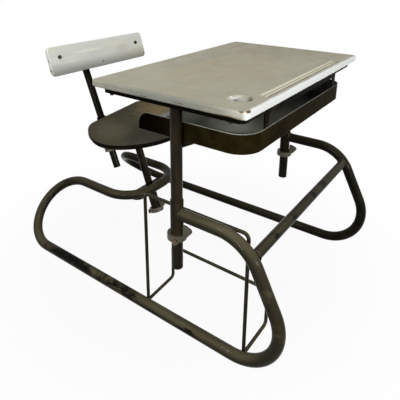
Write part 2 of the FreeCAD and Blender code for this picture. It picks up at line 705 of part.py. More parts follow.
def rounded_wire(corners, radius):
    """A wire through the corners, each inner corner rounded."""
    edges = []
    start = corners[0]
    for before, corner, after in zip(corners, corners[1:], corners[2:]):
        back = (before - corner).normalize()
        ahead = (after - corner).normalize()
        angle = back.getAngle(ahead)
        reach = radius / math.tan(angle / 2)
        first = corner + back * reach
        last = corner + ahead * reach
        inward = (back + ahead).normalize()
        centre = corner + inward * (reach * reach + radius * radius) ** 0.5
        edges.append(Part.makeLine(start, first))
        edges.append(Part.Arc(first, centre - inward * radius, last).toShape())
        start = last
    edges.append(Part.makeLine(start, corners[-1]))
    return Part.Wire(edges)


def desk_post(label, side):
    body = new_body(label)
    top = "top_height - top_thickness - head_plate_thickness - 2 * join_gap"
    tube_between(body, "post_radius", "post_radius - post_wall", "post_foot", top)
    place(body, "%d * track_half" % side, "post_y", "0")


def head_plate(label, side):
    """Plate on the post's top, screwed up into the board."""
    body = new_body(label)
    outline = sketch_on(body, "XY_Plane")
    inner, outer = "post_radius - head_plate_width", "post_radius"
    if side < 0:
        inner, outer = "-post_radius", "head_plate_width - post_radius"
    draw_rectangle(outline, inner, outer, "-head_plate_length / 2", "head_plate_length / 2")
    pad(body, outline, "head_plate_thickness")
    holes = sketch_on(body, "XY_Plane")
    for y in ("head_screw_y", "-head_screw_y"):
        draw_circle(holes, "screw_radius + bolt_play", "0", y)
    pocket(body, holes, "head_plate_thickness + overrun", backward=True)
    height = "top_height - top_thickness - head_plate_thickness - join_gap"
    place(body, "%d * track_half" % side, "post_y", height)


def post_gusset(label, side):
    """Triangular plate that carries the tray on the post's front side."""
    body = new_body(label)
    triangle = sketch_on(body, "YZ_Plane", "%d * (track_half - gusset_inset - gusset_thickness)" % side)
    draw_polygon(triangle, [("0", "-gusset_drop"), ("gusset_reach", "0"), ("0", "0")])
    pad(body, triangle, "gusset_thickness", backward=side < 0)
    clearance = sketch_on(body, "XY_Plane")
    draw_circle(clearance, "post_radius + join_gap", "%d * track_half" % side)
    pocket(body, clearance, "gusset_drop + overrun")
    place(body, "0", "post_y", "tray_floor - join_gap")


def edge_frame():
    """Flat steel standing on edge all round under the board."""
    body = new_body("top_edge_frame")
    outline = sketch_on(body, "XY_Plane")
    draw_rectangle(outline, "-edge_half", "edge_half", "-edge_back", "edge_front")
    pad(body, outline, "edge_height")
    round_edges(body, "edge_round", lambda e: runs_along(e, Z_AXIS))
    inner = sketch_on(body, "XY_Plane")
    draw_rectangle(inner, "edge_thickness - edge_half", "edge_half - edge_thickness",
                   "edge_thickness - edge_back", "edge_front - edge_thickness")
    pocket(body, inner, "edge_height + overrun", backward=True)
    inner_x = amount_of("edge_half - edge_thickness")
    round_edges(body, "edge_round - edge_thickness", lambda e: runs_along(e, Z_AXIS)
                and abs(abs(middle_of(e).x) - inner_x) < 1e-3)
    holes = sketch_on(body, "XY_Plane")
    for x in ("edge_half - edge_thickness / 2", "edge_thickness / 2 - edge_half"):
        for y in ("screw_front", "-screw_back"):
            draw_circle(holes, "screw_radius + bolt_play", x, y)
    pocket(body, holes, "edge_height + overrun", backward=True)
    place(body, "0", "post_y", "top_height - top_thickness - edge_height - join_gap")


TRAY_HALF = "(track_half - tray_inset)"


def tray():
    """Pressed sheet tray, open towards the pupil above a rolled lip."""
    body = new_body("book_tray")
    outline = sketch_on(body, "XY_Plane")
    draw_tray_plan(outline, TRAY_HALF, "-tray_back", "tray_front", "tray_corner")
    pad(body, outline, "tray_height")
    inside = sketch_on(body, "XY_Plane", "tray_wall")
    draw_tray_plan(inside, TRAY_HALF + " - tray_wall", "tray_wall - tray_back",
                   "tray_front - tray_wall", "tray_corner - tray_wall")
    pocket(body, inside, "tray_height + overrun", backward=True)
    mouth = sketch_on(body, "XY_Plane", "tray_lip")
    draw_rectangle(mouth, "tray_wall - " + TRAY_HALF, TRAY_HALF + " - tray_wall",
                   "-tray_back - overrun", "2 * tray_wall - tray_back")
    pocket(body, mouth, "tray_height + overrun", backward=True)
    back, top = amount_of("-tray_back"), amount_of("tray_height")
    round_edges(body, "tray_end_round", lambda e: runs_along(e, X_AXIS)
                and abs(middle_of(e).y - back) < 1e-3 and abs(middle_of(e).z - top) < 1e-3)
    bead = sketch_on(body, "YZ_Plane")
    draw_circle(bead, "tray_bead", "tray_bead - tray_back", "tray_lip")
    pad(body, bead, "2 * (%s - tray_wall / 2)" % TRAY_HALF, both=True)
    bolt_hole = sketch_on(body, "YZ_Plane")
    draw_circle(bolt_hole, "side_bolt_radius + bolt_play", "side_bolt_y", "tray_height - side_bolt_down")
    pocket(body, bolt_hole, TRAY_HALF + " + overrun")
    place(body, "0", "post_y", "tray_floor")


def tray_hanger():
    """Flat steel: two legs inside the edge frame and the rail between them."""
    body = new_body("tray_hanger")
    outline = sketch_on(body, "XZ_Plane")
    top = "(top_height - top_thickness - join_gap)"
    rail_top = "(top_height - hanger_rail_down)"
    rail_low = "(%s - hanger_rail)" % rail_top
    foot = "(tray_floor + tray_height - hanger_overlap)"
    outer = "(hanger_x + hanger_width / 2)"
    inner = "(hanger_x - hanger_width / 2)"
    draw_polygon(outline, [
        ("-" + outer, top), ("-" + outer, foot), ("-" + inner, foot), ("-" + inner, rail_low),
        (inner, rail_low), (inner, foot), (outer, foot), (outer, top),
        (inner, top), (inner, rail_top), ("-" + inner, rail_top), ("-" + inner, top),
    ])
    pad(body, outline, "hanger_thickness")
    place(body, "0", "post_y + tray_front - tray_wall - join_gap", "0")


def tray_bolt():
    """Bolt with its nut through the tray's far side wall."""
    height = "tray_floor + tray_height - side_bolt_down"
    bolt = new_body("tray_side_bolt")
    shank = sketch_on(bolt, "YZ_Plane", "join_gap")
    draw_circle(shank, "side_bolt_radius")
    pad(bolt, shank, "tray_wall + side_bolt_head_height + side_bolt_radius")
    head = sketch_on(bolt, "YZ_Plane", "-join_gap")
    draw_circle(head, "side_bolt_head")
    pad(bolt, head, "side_bolt_head_height", backward=True)
    neck = sketch_on(bolt, "YZ_Plane", "-2 * join_gap")
    draw_circle(neck, "side_bolt_radius")
    pad(bolt, neck, "4 * join_gap")
    place(bolt, "-" + TRAY_HALF, "post_y + side_bolt_y", height)
    nut = new_body("tray_side_nut")
    blank = sketch_on(nut, "YZ_Plane", "tray_wall + join_gap")
    draw_hexagon(blank, "side_bolt_head")
    draw_circle(blank, "side_bolt_radius + bolt_play")
    pad(nut, blank, "side_bolt_head_height")
    place(nut, "-" + TRAY_HALF, "post_y + side_bolt_y", height)


def desktop():
    """Wooden top with rounded edges, a pen groove and the inkwell hole."""
    body = new_body("desktop_board")
    outline = sketch_on(body, "XY_Plane")
    draw_rectangle(outline, "-top_half", "top_half", "-top_back", "top_front")
    pad(body, outline, "top_thickness", backward=True)
    round_edges(body, "top_corner", lambda e: runs_along(e, Z_AXIS))
    low = amount_of("-top_thickness")
    round_edges(body, "top_round", lambda e: min(abs(middle_of(e).z), abs(middle_of(e).z - low)) < 1e-3)
    groove = sketch_on(body, "YZ_Plane")
    draw_circle(groove, "groove_radius", "groove_y", "groove_centre_up")
    pocket(body, groove, "2 * groove_half", both=True)
    inkwell = sketch_on(body, "XY_Plane")
    draw_circle(inkwell, "inkwell_radius", "inkwell_x", "inkwell_y")
    pocket(body, inkwell, "top_thickness + overrun")
    radius = amount_of("inkwell_radius")
    base = body.Tip
    names = []
    for number, edge in enumerate(base.Shape.Edges, 1):
        if edge.Curve.TypeId == "Part::GeomCircle" and abs(edge.Curve.Radius - radius) < 1e-3:
            names.append("Edge%d" % number)
    chamfer = body.newObject("PartDesign::Chamfer", "Chamfer")
    chamfer.Base = (base, names)
    chamfer.Size = amount_of("inkwell_chamfer")
    bind(chamfer, "Size", "inkwell_chamfer")
    doc.recompute()
    pilots = sketch_on(body, "XY_Plane", "-top_thickness")
    for x, y in DESKTOP_SCREWS:
        draw_circle(pilots, "screw_radius + bolt_play", x, y)
    pocket(body, pilots, "screw_depth + 2 * join_gap", backward=True)
    place(body, "0", "post_y", "top_height")


DESKTOP_SCREWS = [
    ("edge_half - edge_thickness / 2", "screw_front"),
    ("edge_half - edge_thickness / 2", "-screw_back"),
    ("edge_thickness / 2 - edge_half", "screw_front"),
    ("edge_thickness / 2 - edge_half", "-screw_back"),
    ("track_half", "head_screw_y"),
    ("track_half", "-head_screw_y"),
    ("-track_half", "head_screw_y"),
    ("-track_half", "-head_screw_y"),
]


def cylinder(radius, length, x, y, z, axis=None, angle="0"):
    piece = doc.addObject("Part::Cylinder", "Cylinder")
    piece.Radius = amount_of(radius)
    bind(piece, "Radius", radius)
    piece.Height = amount_of(length)
    bind(piece, "Height", length)
    place(piece, x, y, z, axis, angle)
    return piece


def group_of(label, parts):
    """One node that holds several equal, separate fasteners."""
    group = doc.addObject("Part::MultiFuse", "Group_" + label)
    group.Label = label
    group.Shapes = parts
    PIECES.append(group)
    return group


def desktop_screws():
    """Pan-head screws up through the edge frame and the head plates."""
    parts = []
    for number, (x, y) in enumerate(DESKTOP_SCREWS):
        seat = "edge_height" if number < 4 else "head_plate_thickness"
        under = "(top_height - top_thickness - %s - 2 * join_gap)" % seat
        along = "post_y + (%s)" % y
        parts.append(cylinder("screw_head", "screw_head_height", x, along, "%s - screw_head_height" % under))
        parts.append(cylinder("screw_radius", "%s + screw_depth + join_gap" % seat, x, along, under))
    group_of("desktop_screws", parts)


def seat_post():
    body = new_body("seat_post")
    top = "((carrier_top - carrier_thickness - join_gap - seat_sleeve_top) / cos(seat_lean))"
    half = "(2 * seat_post_radius)"
    tube_between(body, "seat_post_radius", "seat_post_radius - post_wall", "-seat_post_foot",
                 "%s + %s" % (top, half))
    waste = sketch_on(body, "YZ_Plane")
    draw_polygon(waste, [
        ("-" + half, "%s + %s * tan(seat_lean)" % (top, half)),
        (half, "%s - %s * tan(seat_lean)" % (top, half)),
        (half, "%s + 2 * %s" % (top, half)),
        ("-" + half, "%s + 2 * %s" % (top, half)),
    ])
    pocket(body, waste, "2 * " + half, both=True)
    place(body, "0", SEAT_SLEEVE_Y, "seat_sleeve_top", X_AXIS, "seat_lean")


REST_Y = "post_y - rest_axis_y"


def seat_carrier():
    """Flat bar from the pivot back to the backrest sleeve."""
    body = new_body("seat_carrier_bar")
    outline = sketch_on(body, "XY_Plane")
    draw_rectangle(outline, "-carrier_half", "carrier_half", "-rest_axis_y", "-carrier_front")
    pad(body, outline, "carrier_thickness", backward=True)
    hole = sketch_on(body, "XY_Plane")
    draw_circle(hole, "pivot_radius + running_gap", "0", "-pivot_y")
    pocket(body, hole, "carrier_thickness + overrun")
    saddle = sketch_on(body, "XY_Plane", turn_axis=X_AXIS, turn="rest_lean")
    shift = "-rest_axis_y * cos(rest_lean) + (rest_axis_height - carrier_top) * sin(rest_lean)"
    draw_circle(saddle, "sleeve_radius + join_gap", "0", shift)
    pocket(body, saddle, "2 * (rest_axis_y * sin(rest_lean) + overrun)", both=True)
    place(body, "0", "post_y", "carrier_top")

    disc = new_body("swivel_disc")
    plate = sketch_on(disc, "XY_Plane")
    draw_circle(plate, "disc_radius")
    draw_circle(plate, "pivot_radius + running_gap")
    pad(disc, plate, "disc_thickness")
    place(disc, "0", "post_y - pivot_y", "carrier_top + join_gap")

    nut = new_body("pivot_nut")
    blank = sketch_on(nut, "XY_Plane")
    draw_hexagon(blank, "pivot_nut_radius")
    draw_circle(blank, "pivot_radius + running_gap")
    pad(nut, blank, "pivot_nut_height", backward=True)
    place(nut, "0", "post_y - pivot_y", "carrier_top - carrier_thickness - join_gap")


def backrest_sleeve():
    sleeve = new_body("backrest_sleeve")
    tube_between(sleeve, "sleeve_radius", "rest_tube_radius + running_gap",
                 "-rest_sleeve_down", "rest_sleeve_up")
    cut_slit(sleeve, "-rest_sleeve_down", forward=-1)
    place(sleeve, "0", REST_Y, "rest_axis_height", X_AXIS, "rest_lean")
    middle = "(rest_sleeve_down - rest_collar_offset)"
    ring_y = REST_Y + " + %s * sin(rest_lean)" % middle
    ring_z = "rest_axis_height - %s * cos(rest_lean)" % middle
    ring = collar("backrest_collar", -1, "180 - bolt_angle")
    place(ring, "0", ring_y, ring_z, X_AXIS, "rest_lean")
    bolt = collar_bolt("backrest_collar_bolt")
    place_on_axis(bolt, ring_y + " + bolt_drop * sin(rest_lean)", ring_z + " - bolt_drop * cos(rest_lean)",
                  "rest_lean", "180 - bolt_angle")


def draw_seat_side(sketch, drop, thickness):
    """Side view of a sheet that is level and curves up at the rear."""
    radius = amount_of("seat_lip_radius")
    high = amount_of("-(%s)" % drop)
    low = amount_of("-(%s) - (%s)" % (drop, thickness))
    front = amount_of("seat_front + overrun")
    centre = Vector(0, radius, 0)
    angle = amount_of("seat_lip_angle")
    turn = Rotation(Vector(0, 0, 1), -angle)
    half_turn = Rotation(Vector(0, 0, 1), -angle / 2)
    upper = centre + turn.multVec(Vector(0, high - radius, 0))
    upper_middle = centre + half_turn.multVec(Vector(0, high - radius, 0))
    lower = centre + turn.multVec(Vector(0, low - radius, 0))
    lower_middle = centre + half_turn.multVec(Vector(0, low - radius, 0))
    lines = [
        Part.LineSegment(Vector(front, high, 0), Vector(0, high, 0)),
        Part.Arc(Vector(0, high, 0), upper_middle, upper),
        Part.LineSegment(upper, lower),
        Part.Arc(lower, lower_middle, Vector(0, low, 0)),
        Part.LineSegment(Vector(0, low, 0), Vector(front, low, 0)),
        Part.LineSegment(Vector(front, low, 0), Vector(front, high, 0)),
    ]
    for line in lines:
        sketch.addGeometry(line, False)


def curved_plate(label, drop, thickness, inset):
    """A piece of the seat: its side view, trimmed to the plan outline."""
    body = new_body(label)
    side = sketch_on(body, "YZ_Plane")
    draw_seat_side(side, drop, thickness)
    pad(body, side, "2 * (seat_half + overrun)", both=True)
    for half in (1, -1):
        trim = sketch_on(body, "XY_Plane", "-seat_half")
        draw_seat_trim(trim, inset, half)
        pocket(body, trim, "2 * seat_half", backward=True)
    return body


def draw_seat_trim(sketch, inset, side):
    """The region between a large frame and one half of the outline."""
    points = seat_outline(inset)
    far = amount_of("seat_half + 2 * overrun")
    deep = amount_of("2 * seat_half")
    ahead = amount_of("seat_front + 2 * overrun")
    (start, corner_from, corner_middle, widest, side_middle, meeting, front_middle, front) = points
    frame = [front, Vector(0, ahead, 0), Vector(far, ahead, 0), Vector(far, -deep, 0),
             Vector(0, -deep, 0), start]
    lines = [Part.LineSegment(a, b) for a, b in zip(frame, frame[1:])]
    lines += [
        Part.LineSegment(start, corner_from),
        Part.Arc(corner_from, corner_middle, widest),
        Part.Arc(widest, side_middle, meeting),
        Part.Arc(meeting, front_middle, front),
    ]
    if side < 0:
        flipped = []
        for line in lines:
            if isinstance(line, Part.LineSegment):
                start_point, end_point = mirror_point(line.StartPoint), mirror_point(line.EndPoint)
                flipped.append(Part.LineSegment(start_point, end_point))
            else:
                low, high = line.FirstParameter, line.LastParameter
                on_arc = [line.value(low), line.value((low + high) / 2), line.value(high)]
                flipped.append(Part.Arc(*[mirror_point(point) for point in on_arc]))
        lines = flipped
    for line in lines:
        sketch.addGeometry(line, False)


def mirror_point(point):
    return Vector(-point.x, point.y, point.z)


def seat_outline(inset):
    """Points and arc middles of half the seat's outline."""
    half = amount_of("seat_half - %s" % inset)
    back = amount_of("seat_back - %s" % inset)
    corner = amount_of("seat_corner_radius - %s" % inset)
    side = amount_of("seat_side_radius - %s" % inset)
    widest = corner - back
    reach = amount_of("seat_front - %s" % inset) - widest
    spread = half - side
    front = (spread ** 2 + reach ** 2 - side ** 2) / (2 * (reach - side))
    front_centre = Vector(0, widest + reach - front, 0)
    side_centre = Vector(spread, widest, 0)
    corner_centre = Vector(half - corner, widest, 0)
    outward = (side_centre - front_centre).normalize()
    return (
        Vector(0, -back, 0),
        Vector(half - corner, -back, 0),
        corner_centre + Vector(1, -1, 0).normalize() * corner,
        Vector(half, widest, 0),
        side_centre + (outward + Vector(1, 0, 0)).normalize() * side,
        front_centre + outward * front,
        front_centre + (outward + Vector(0, 1, 0)).normalize() * front,
        Vector(0, widest + reach, 0),
    )


def place_seat(body, z):
    place(body, "0", "post_y - pivot_y", z, Z_AXIS, "seat_turn")


SEAT_SCREWS = ["seat_screw_inner", "seat_screw_outer", "-seat_screw_inner", "-seat_screw_outer"]


def seat():
    """Wooden seat, the steel rim under it and the strap with the pivot."""
    board = curved_plate("seat_board", "0", "seat_thickness", "0")
    pilots = sketch_on(board, "XY_Plane", "-seat_thickness - overrun")
    for x in SEAT_SCREWS:
        draw_circle(pilots, "seat_screw_radius + bolt_play", x)
    pocket(board, pilots, "seat_screw_depth + overrun", backward=True)
    place_seat(board, "seat_top")

    rim = curved_plate("seat_rim_rod", "seat_thickness + join_gap", "rim_height", "rim_inset")
    inner = sketch_on(rim, "XY_Plane", "-seat_half")
    for side in (1, -1):
        draw_rim_hollow(inner, side)
    pocket(rim, inner, "2 * seat_half", backward=True)
    place_seat(rim, "seat_top")

    strap = new_body("seat_strap")
    outline = sketch_on(strap, "XY_Plane")
    hollow = "(seat_side_radius - rim_inset - rim_width)"
    rise = "(strap_half + seat_back - seat_corner_radius)"
    end = "(seat_half - seat_side_radius + sqrt(%s ^ 2 - %s ^ 2) - 2 * join_gap)" % (hollow, rise)
    draw_rectangle(outline, "-" + end, end, "-strap_half", "strap_half")
    pad(strap, outline, "strap_thickness", backward=True)
    holes = sketch_on(strap, "XY_Plane")
    draw_circle(holes, "pivot_radius + join_gap")
    for x in SEAT_SCREWS:
        draw_circle(holes, "seat_screw_radius + bolt_play", x)
    pocket(strap, holes, "strap_thickness + overrun")
    place_seat(strap, "seat_top - seat_thickness - join_gap")


def draw_rim_hollow(sketch, side):
    """Half of the opening inside the rim, on one side of the middle."""
    points = seat_outline("(rim_inset + rim_width)")
    (start, corner_from, corner_middle, widest, side_middle, meeting, front_middle, front) = points
    chain = [(start, corner_from), (corner_from, corner_middle, widest),
             (widest, side_middle, meeting), (meeting, front_middle, front)]
    for piece in chain:
        ends = [p if side > 0 else mirror_point(p) for p in piece]
        sketch.addGeometry(Part.LineSegment(*ends) if len(ends) == 2 else Part.Arc(*ends), False)


def seat_fasteners():
    """The pivot bolt, and the screws that hold the strap to the board."""
    bolt = new_body("pivot_bolt")
    head = sketch_on(bolt, "XY_Plane")
    draw_circle(head, "pivot_radius")
    pad(bolt, head, "strap_thickness + pivot_length", backward=True)
    place_seat(bolt, "seat_top - seat_thickness - 2 * join_gap")
    parts = []
    under = "(seat_top - seat_thickness - strap_thickness - 2 * join_gap)"
    for x in SEAT_SCREWS:
        along_x = "(%s) * cos(seat_turn)" % x
        along_y = "post_y - pivot_y + (%s) * sin(seat_turn)" % x
        parts.append(cylinder("seat_screw_head", "seat_screw_head_height", along_x, along_y,
                              under + " - seat_screw_head_height"))
        parts.append(cylinder("seat_screw_radius", "strap_thickness + seat_screw_depth - join_gap",
                              along_x, along_y, under))
    group_of("seat_screws", parts)


def backrest():
    """Tube, flat steel bow and wooden board of the backrest."""
    tube = new_body("backrest_tube")
    tube_between(tube, "rest_tube_radius", "rest_tube_radius - rest_tube_wall",
                 "-rest_tube_down", "rest_tube_up")
    place(tube, "0", REST_Y, "rest_axis_height", X_AXIS, "rest_lean")

    board = new_body("backrest_board")
    outline = sketch_on(board, "XZ_Plane")
    draw_rectangle(outline, "-board_half", "board_half", "-board_height / 2", "board_height / 2")
    pad(board, outline, "board_thickness")
    round_edges(board, "board_corner", lambda e: runs_along(e, Y_AXIS))
    back = amount_of("-board_thickness")
    round_edges(board, "board_round", lambda e: min(abs(middle_of(e).y), abs(middle_of(e).y - back)) < 1e-3)
    holes = sketch_on(board, "XZ_Plane")
    for x in ("rest_bolt_x", "-rest_bolt_x"):
        draw_circle(holes, "rest_bolt_radius + bolt_play", x, "rest_bolt_up")
    pocket(board, holes, "board_thickness + overrun", backward=True)
    place(board, "0", "post_y - board_y", "board_z", X_AXIS, "board_lean")

    bow = new_body("backrest_bow")
    arm = "((bow_depth - 2 * bow_bend_radius * (1 - cos(bow_bend_angle))) / sin(bow_bend_angle))"
    tab = "(bow_half - bow_middle_half - 2 * bow_bend_radius * sin(bow_bend_angle)" \
          " - %s * cos(bow_bend_angle))" % arm
    steps = [
        ("line", tab),
        ("arc", "bow_bend_radius", "-bow_bend_angle"),
        ("line", arm),
        ("arc", "bow_bend_radius", "bow_bend_angle"),
        ("line", "2 * bow_middle_half"),
        ("arc", "bow_bend_radius", "bow_bend_angle"),
        ("line", arm),
        ("arc", "bow_bend_radius", "-bow_bend_angle"),
        ("line", tab),
    ]
    sweep(bow, "XY_Plane", 0, steps, "YZ_Plane", None, size=("bow_thickness", "bow_height"))
    holes = sketch_on(bow, "XZ_Plane")
    for x in ("bow_half - rest_bolt_x", "bow_half + rest_bolt_x"):
        draw_circle(holes, "rest_bolt_radius + bolt_play", x)
    pocket(bow, holes, "bow_thickness + 2 * overrun", both=True)
    behind = "(board_thickness + join_gap + bow_thickness / 2)"
    place(bow, "-bow_half",
          "post_y - board_y - %s * cos(board_lean) - rest_bolt_up * sin(board_lean)" % behind,
          "board_z - %s * sin(board_lean) + rest_bolt_up * cos(board_lean)" % behind,
          X_AXIS, "board_lean")


def backrest_fasteners():
    """Two bolts through the board and the bow, with their nuts."""
    bolts, nuts = [], []
    grip = "(board_thickness + bow_thickness + join_gap)"
    for x in ("rest_bolt_x", "-rest_bolt_x"):
        bolts.append(rest_cylinder("rest_bolt_head", "rest_bolt_head_height", x,
                                   "-rest_bolt_head_height - join_gap"))
        bolts.append(rest_cylinder("rest_bolt_radius", grip + " + rest_nut_height + 3 * join_gap", x,
                                   "-join_gap"))
        blank = rest_cylinder("rest_nut_radius", "rest_nut_height", x, grip + " + join_gap")
        bore = rest_cylinder("rest_bolt_radius + bolt_play", "rest_nut_height + join_gap + overrun", x, grip)
        nut = doc.addObject("Part::Cut", "Nut")
        nut.Base = blank
        nut.Tool = bore
        nuts.append(nut)
    group_of("backrest_bolts", bolts)
    group_of("backrest_nuts", nuts)


def rest_cylinder(radius, length, x, depth):
    """A cylinder along the backrest board's thickness, at a bolt."""
    return cylinder(radius, length, x,
                    "post_y - board_y - (%s) * cos(board_lean) - rest_bolt_up * sin(board_lean)" % depth,
                    "board_z - (%s) * sin(board_lean) + rest_bolt_up * cos(board_lean)" % depth,
                    X_AXIS, "90 + board_lean")


side_tube("near_side_tube", 1)
side_tube("far_side_tube", -1)
rear_loop("near_rear_loop", 1)
rear_loop("far_rear_loop", -1)
rear_u_tube()
crossbar()
desk_sleeve("near_post_sleeve", 1)
desk_sleeve("far_post_sleeve", -1)
desk_collars()
seat_socket()
satchel_rack()
desk_post("near_desk_post", 1)
desk_post("far_desk_post", -1)
head_plate("near_head_plate", 1)
head_plate("far_head_plate", -1)
post_gusset("near_post_gusset", 1)
post_gusset("far_post_gusset", -1)
edge_frame()
tray()
tray_hanger()
tray_bolt()
desktop()
desktop_screws()
seat_post()
seat_carrier()
backrest_sleeve()
seat()
seat_fasteners()
backrest()
backrest_fasteners()
doc.recompute()

problems = []
for thing in doc.Objects:
    if "Invalid" in thing.State or "Error" in thing.State:
        problems.append("%s: %s" % (thing.Label, thing.State))
for piece in PIECES:
    if piece.Shape.isNull() or not piece.Shape.isValid() or not piece.Shape.Solids:
        problems.append("%s: no valid solid" % piece.Label)
if problems:
    raise RuntimeError("; ".join(problems))
for piece in PIECES:
    piece.Shape.exportStep("parts/%s.step" % piece.Label)
print("wrote %d pieces" % len(PIECES))
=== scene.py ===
import bpy
import math
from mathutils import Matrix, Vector


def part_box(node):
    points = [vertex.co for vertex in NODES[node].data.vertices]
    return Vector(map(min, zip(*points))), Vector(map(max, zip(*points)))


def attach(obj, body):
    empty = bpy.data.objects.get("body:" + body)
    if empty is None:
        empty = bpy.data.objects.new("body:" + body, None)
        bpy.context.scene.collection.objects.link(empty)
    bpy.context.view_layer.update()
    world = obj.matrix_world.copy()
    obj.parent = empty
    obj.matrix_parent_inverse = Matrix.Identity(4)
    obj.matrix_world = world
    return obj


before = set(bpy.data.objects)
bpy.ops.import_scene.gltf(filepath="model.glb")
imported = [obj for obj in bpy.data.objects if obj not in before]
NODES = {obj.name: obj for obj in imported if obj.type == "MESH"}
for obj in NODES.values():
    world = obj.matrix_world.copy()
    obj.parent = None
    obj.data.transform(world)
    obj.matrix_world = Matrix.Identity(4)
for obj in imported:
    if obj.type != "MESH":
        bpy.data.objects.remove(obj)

bl_info = {
    "name": "School Desk",
    "version": (1, 0, 0),
    "blender": (4, 5, 0),
    "location": "View3D > Sidebar > School Desk",
    "description": "Paint, wear and small pieces of a tubular steel school desk",
    "category": "Object",
}

# Places taken from the frame

POST_LOW, POST_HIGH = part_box("near_desk_post")
TOP_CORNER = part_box("desktop_board")[1]

# Places along Y are measured from the desk posts, as in the construction.
POST_Y = (POST_LOW.y + POST_HIGH.y) / 2
# Half the distance between the middles of the side tubes, where the posts stand too.
TRACK_HALF = (POST_LOW.x + POST_HIGH.x) / 2
# The desktop's half width, front edge and upper face.
TOP_HALF = TOP_CORNER.x
TOP_FRONT = TOP_CORNER.y
TOP_HEIGHT = TOP_CORNER.z
# The upper rim of the tray.
RIM_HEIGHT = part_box("book_tray")[1].z

# Places that the frame does not give

# The pen groove's middle, half width and half length.
GROOVE_Y = POST_Y + 0.169
GROOVE_HALF = 0.0084
GROOVE_REACH = 0.22
# The middle of the inkwell hole.
WELL_X = 0.262
WELL_Y = POST_Y + 0.14
# The middle of the crossbar between the front bends.
CROSSBAR_Y = POST_Y + 0.202
CROSSBAR_HEIGHT = 0.297
# A point over the tray that its inside faces.
OVER_TRAY = (0.0, POST_Y + 0.02, 0.70)
# About the middle of the backrest board along Y.
REST_Y = POST_Y - 0.56

# Welded joins on the near side: the bead's place, the direction of its tube and its radius.
ALONG_X = (1, 0, 0)
ALONG_Y = (0, 1, 0)
SLEEVE_JOIN = ((TRACK_HALF, POST_Y + 0.0162, 0.337), ALONG_Y, 0.0152)
CROSSBAR_JOIN = ((0.2845, CROSSBAR_Y, CROSSBAR_HEIGHT), ALONG_X, 0.0128)
RUNNER_JOIN = ((TRACK_HALF, POST_Y - 0.54375, 0.015), ALONG_Y, 0.0143)
REAR_LEG_JOIN = ((0.1265, POST_Y - 0.42365, 0.1739), ALONG_Y, 0.0146)
# Beads of the butted joins, as a share of the full bead.
THIN_BEAD = 0.3

# The plugs in the lower ends of the posts.
CAP_RADIUS = 0.0134
CAP_HEIGHT = 0.1905
CAP_FLATNESS = 0.42

# Ranges of upward slope over which painted shade gives way to paint: where it
# is mostly on the underside, and where it reaches up the sides.
SHADED_BELOW = (-0.45, 0.85)
SHADED_SIDES = (-0.05, 0.95)

# The floor's colour where it lights the desk from below, and the
# distances from the middle over which its shadow fades out.
FLOOR_TONE = (0.16, 0.16, 0.16)
FLOOR_FADE = (0.3, 0.9)
WHITE = (1, 1, 1, 1)
# Even light from all round, a little cool.
FILL_TONE = (0.95, 0.97, 1.0, 1)
# Width in millimetres for which the lens is given.
SENSOR_WIDTH = 36.0


# Shader building


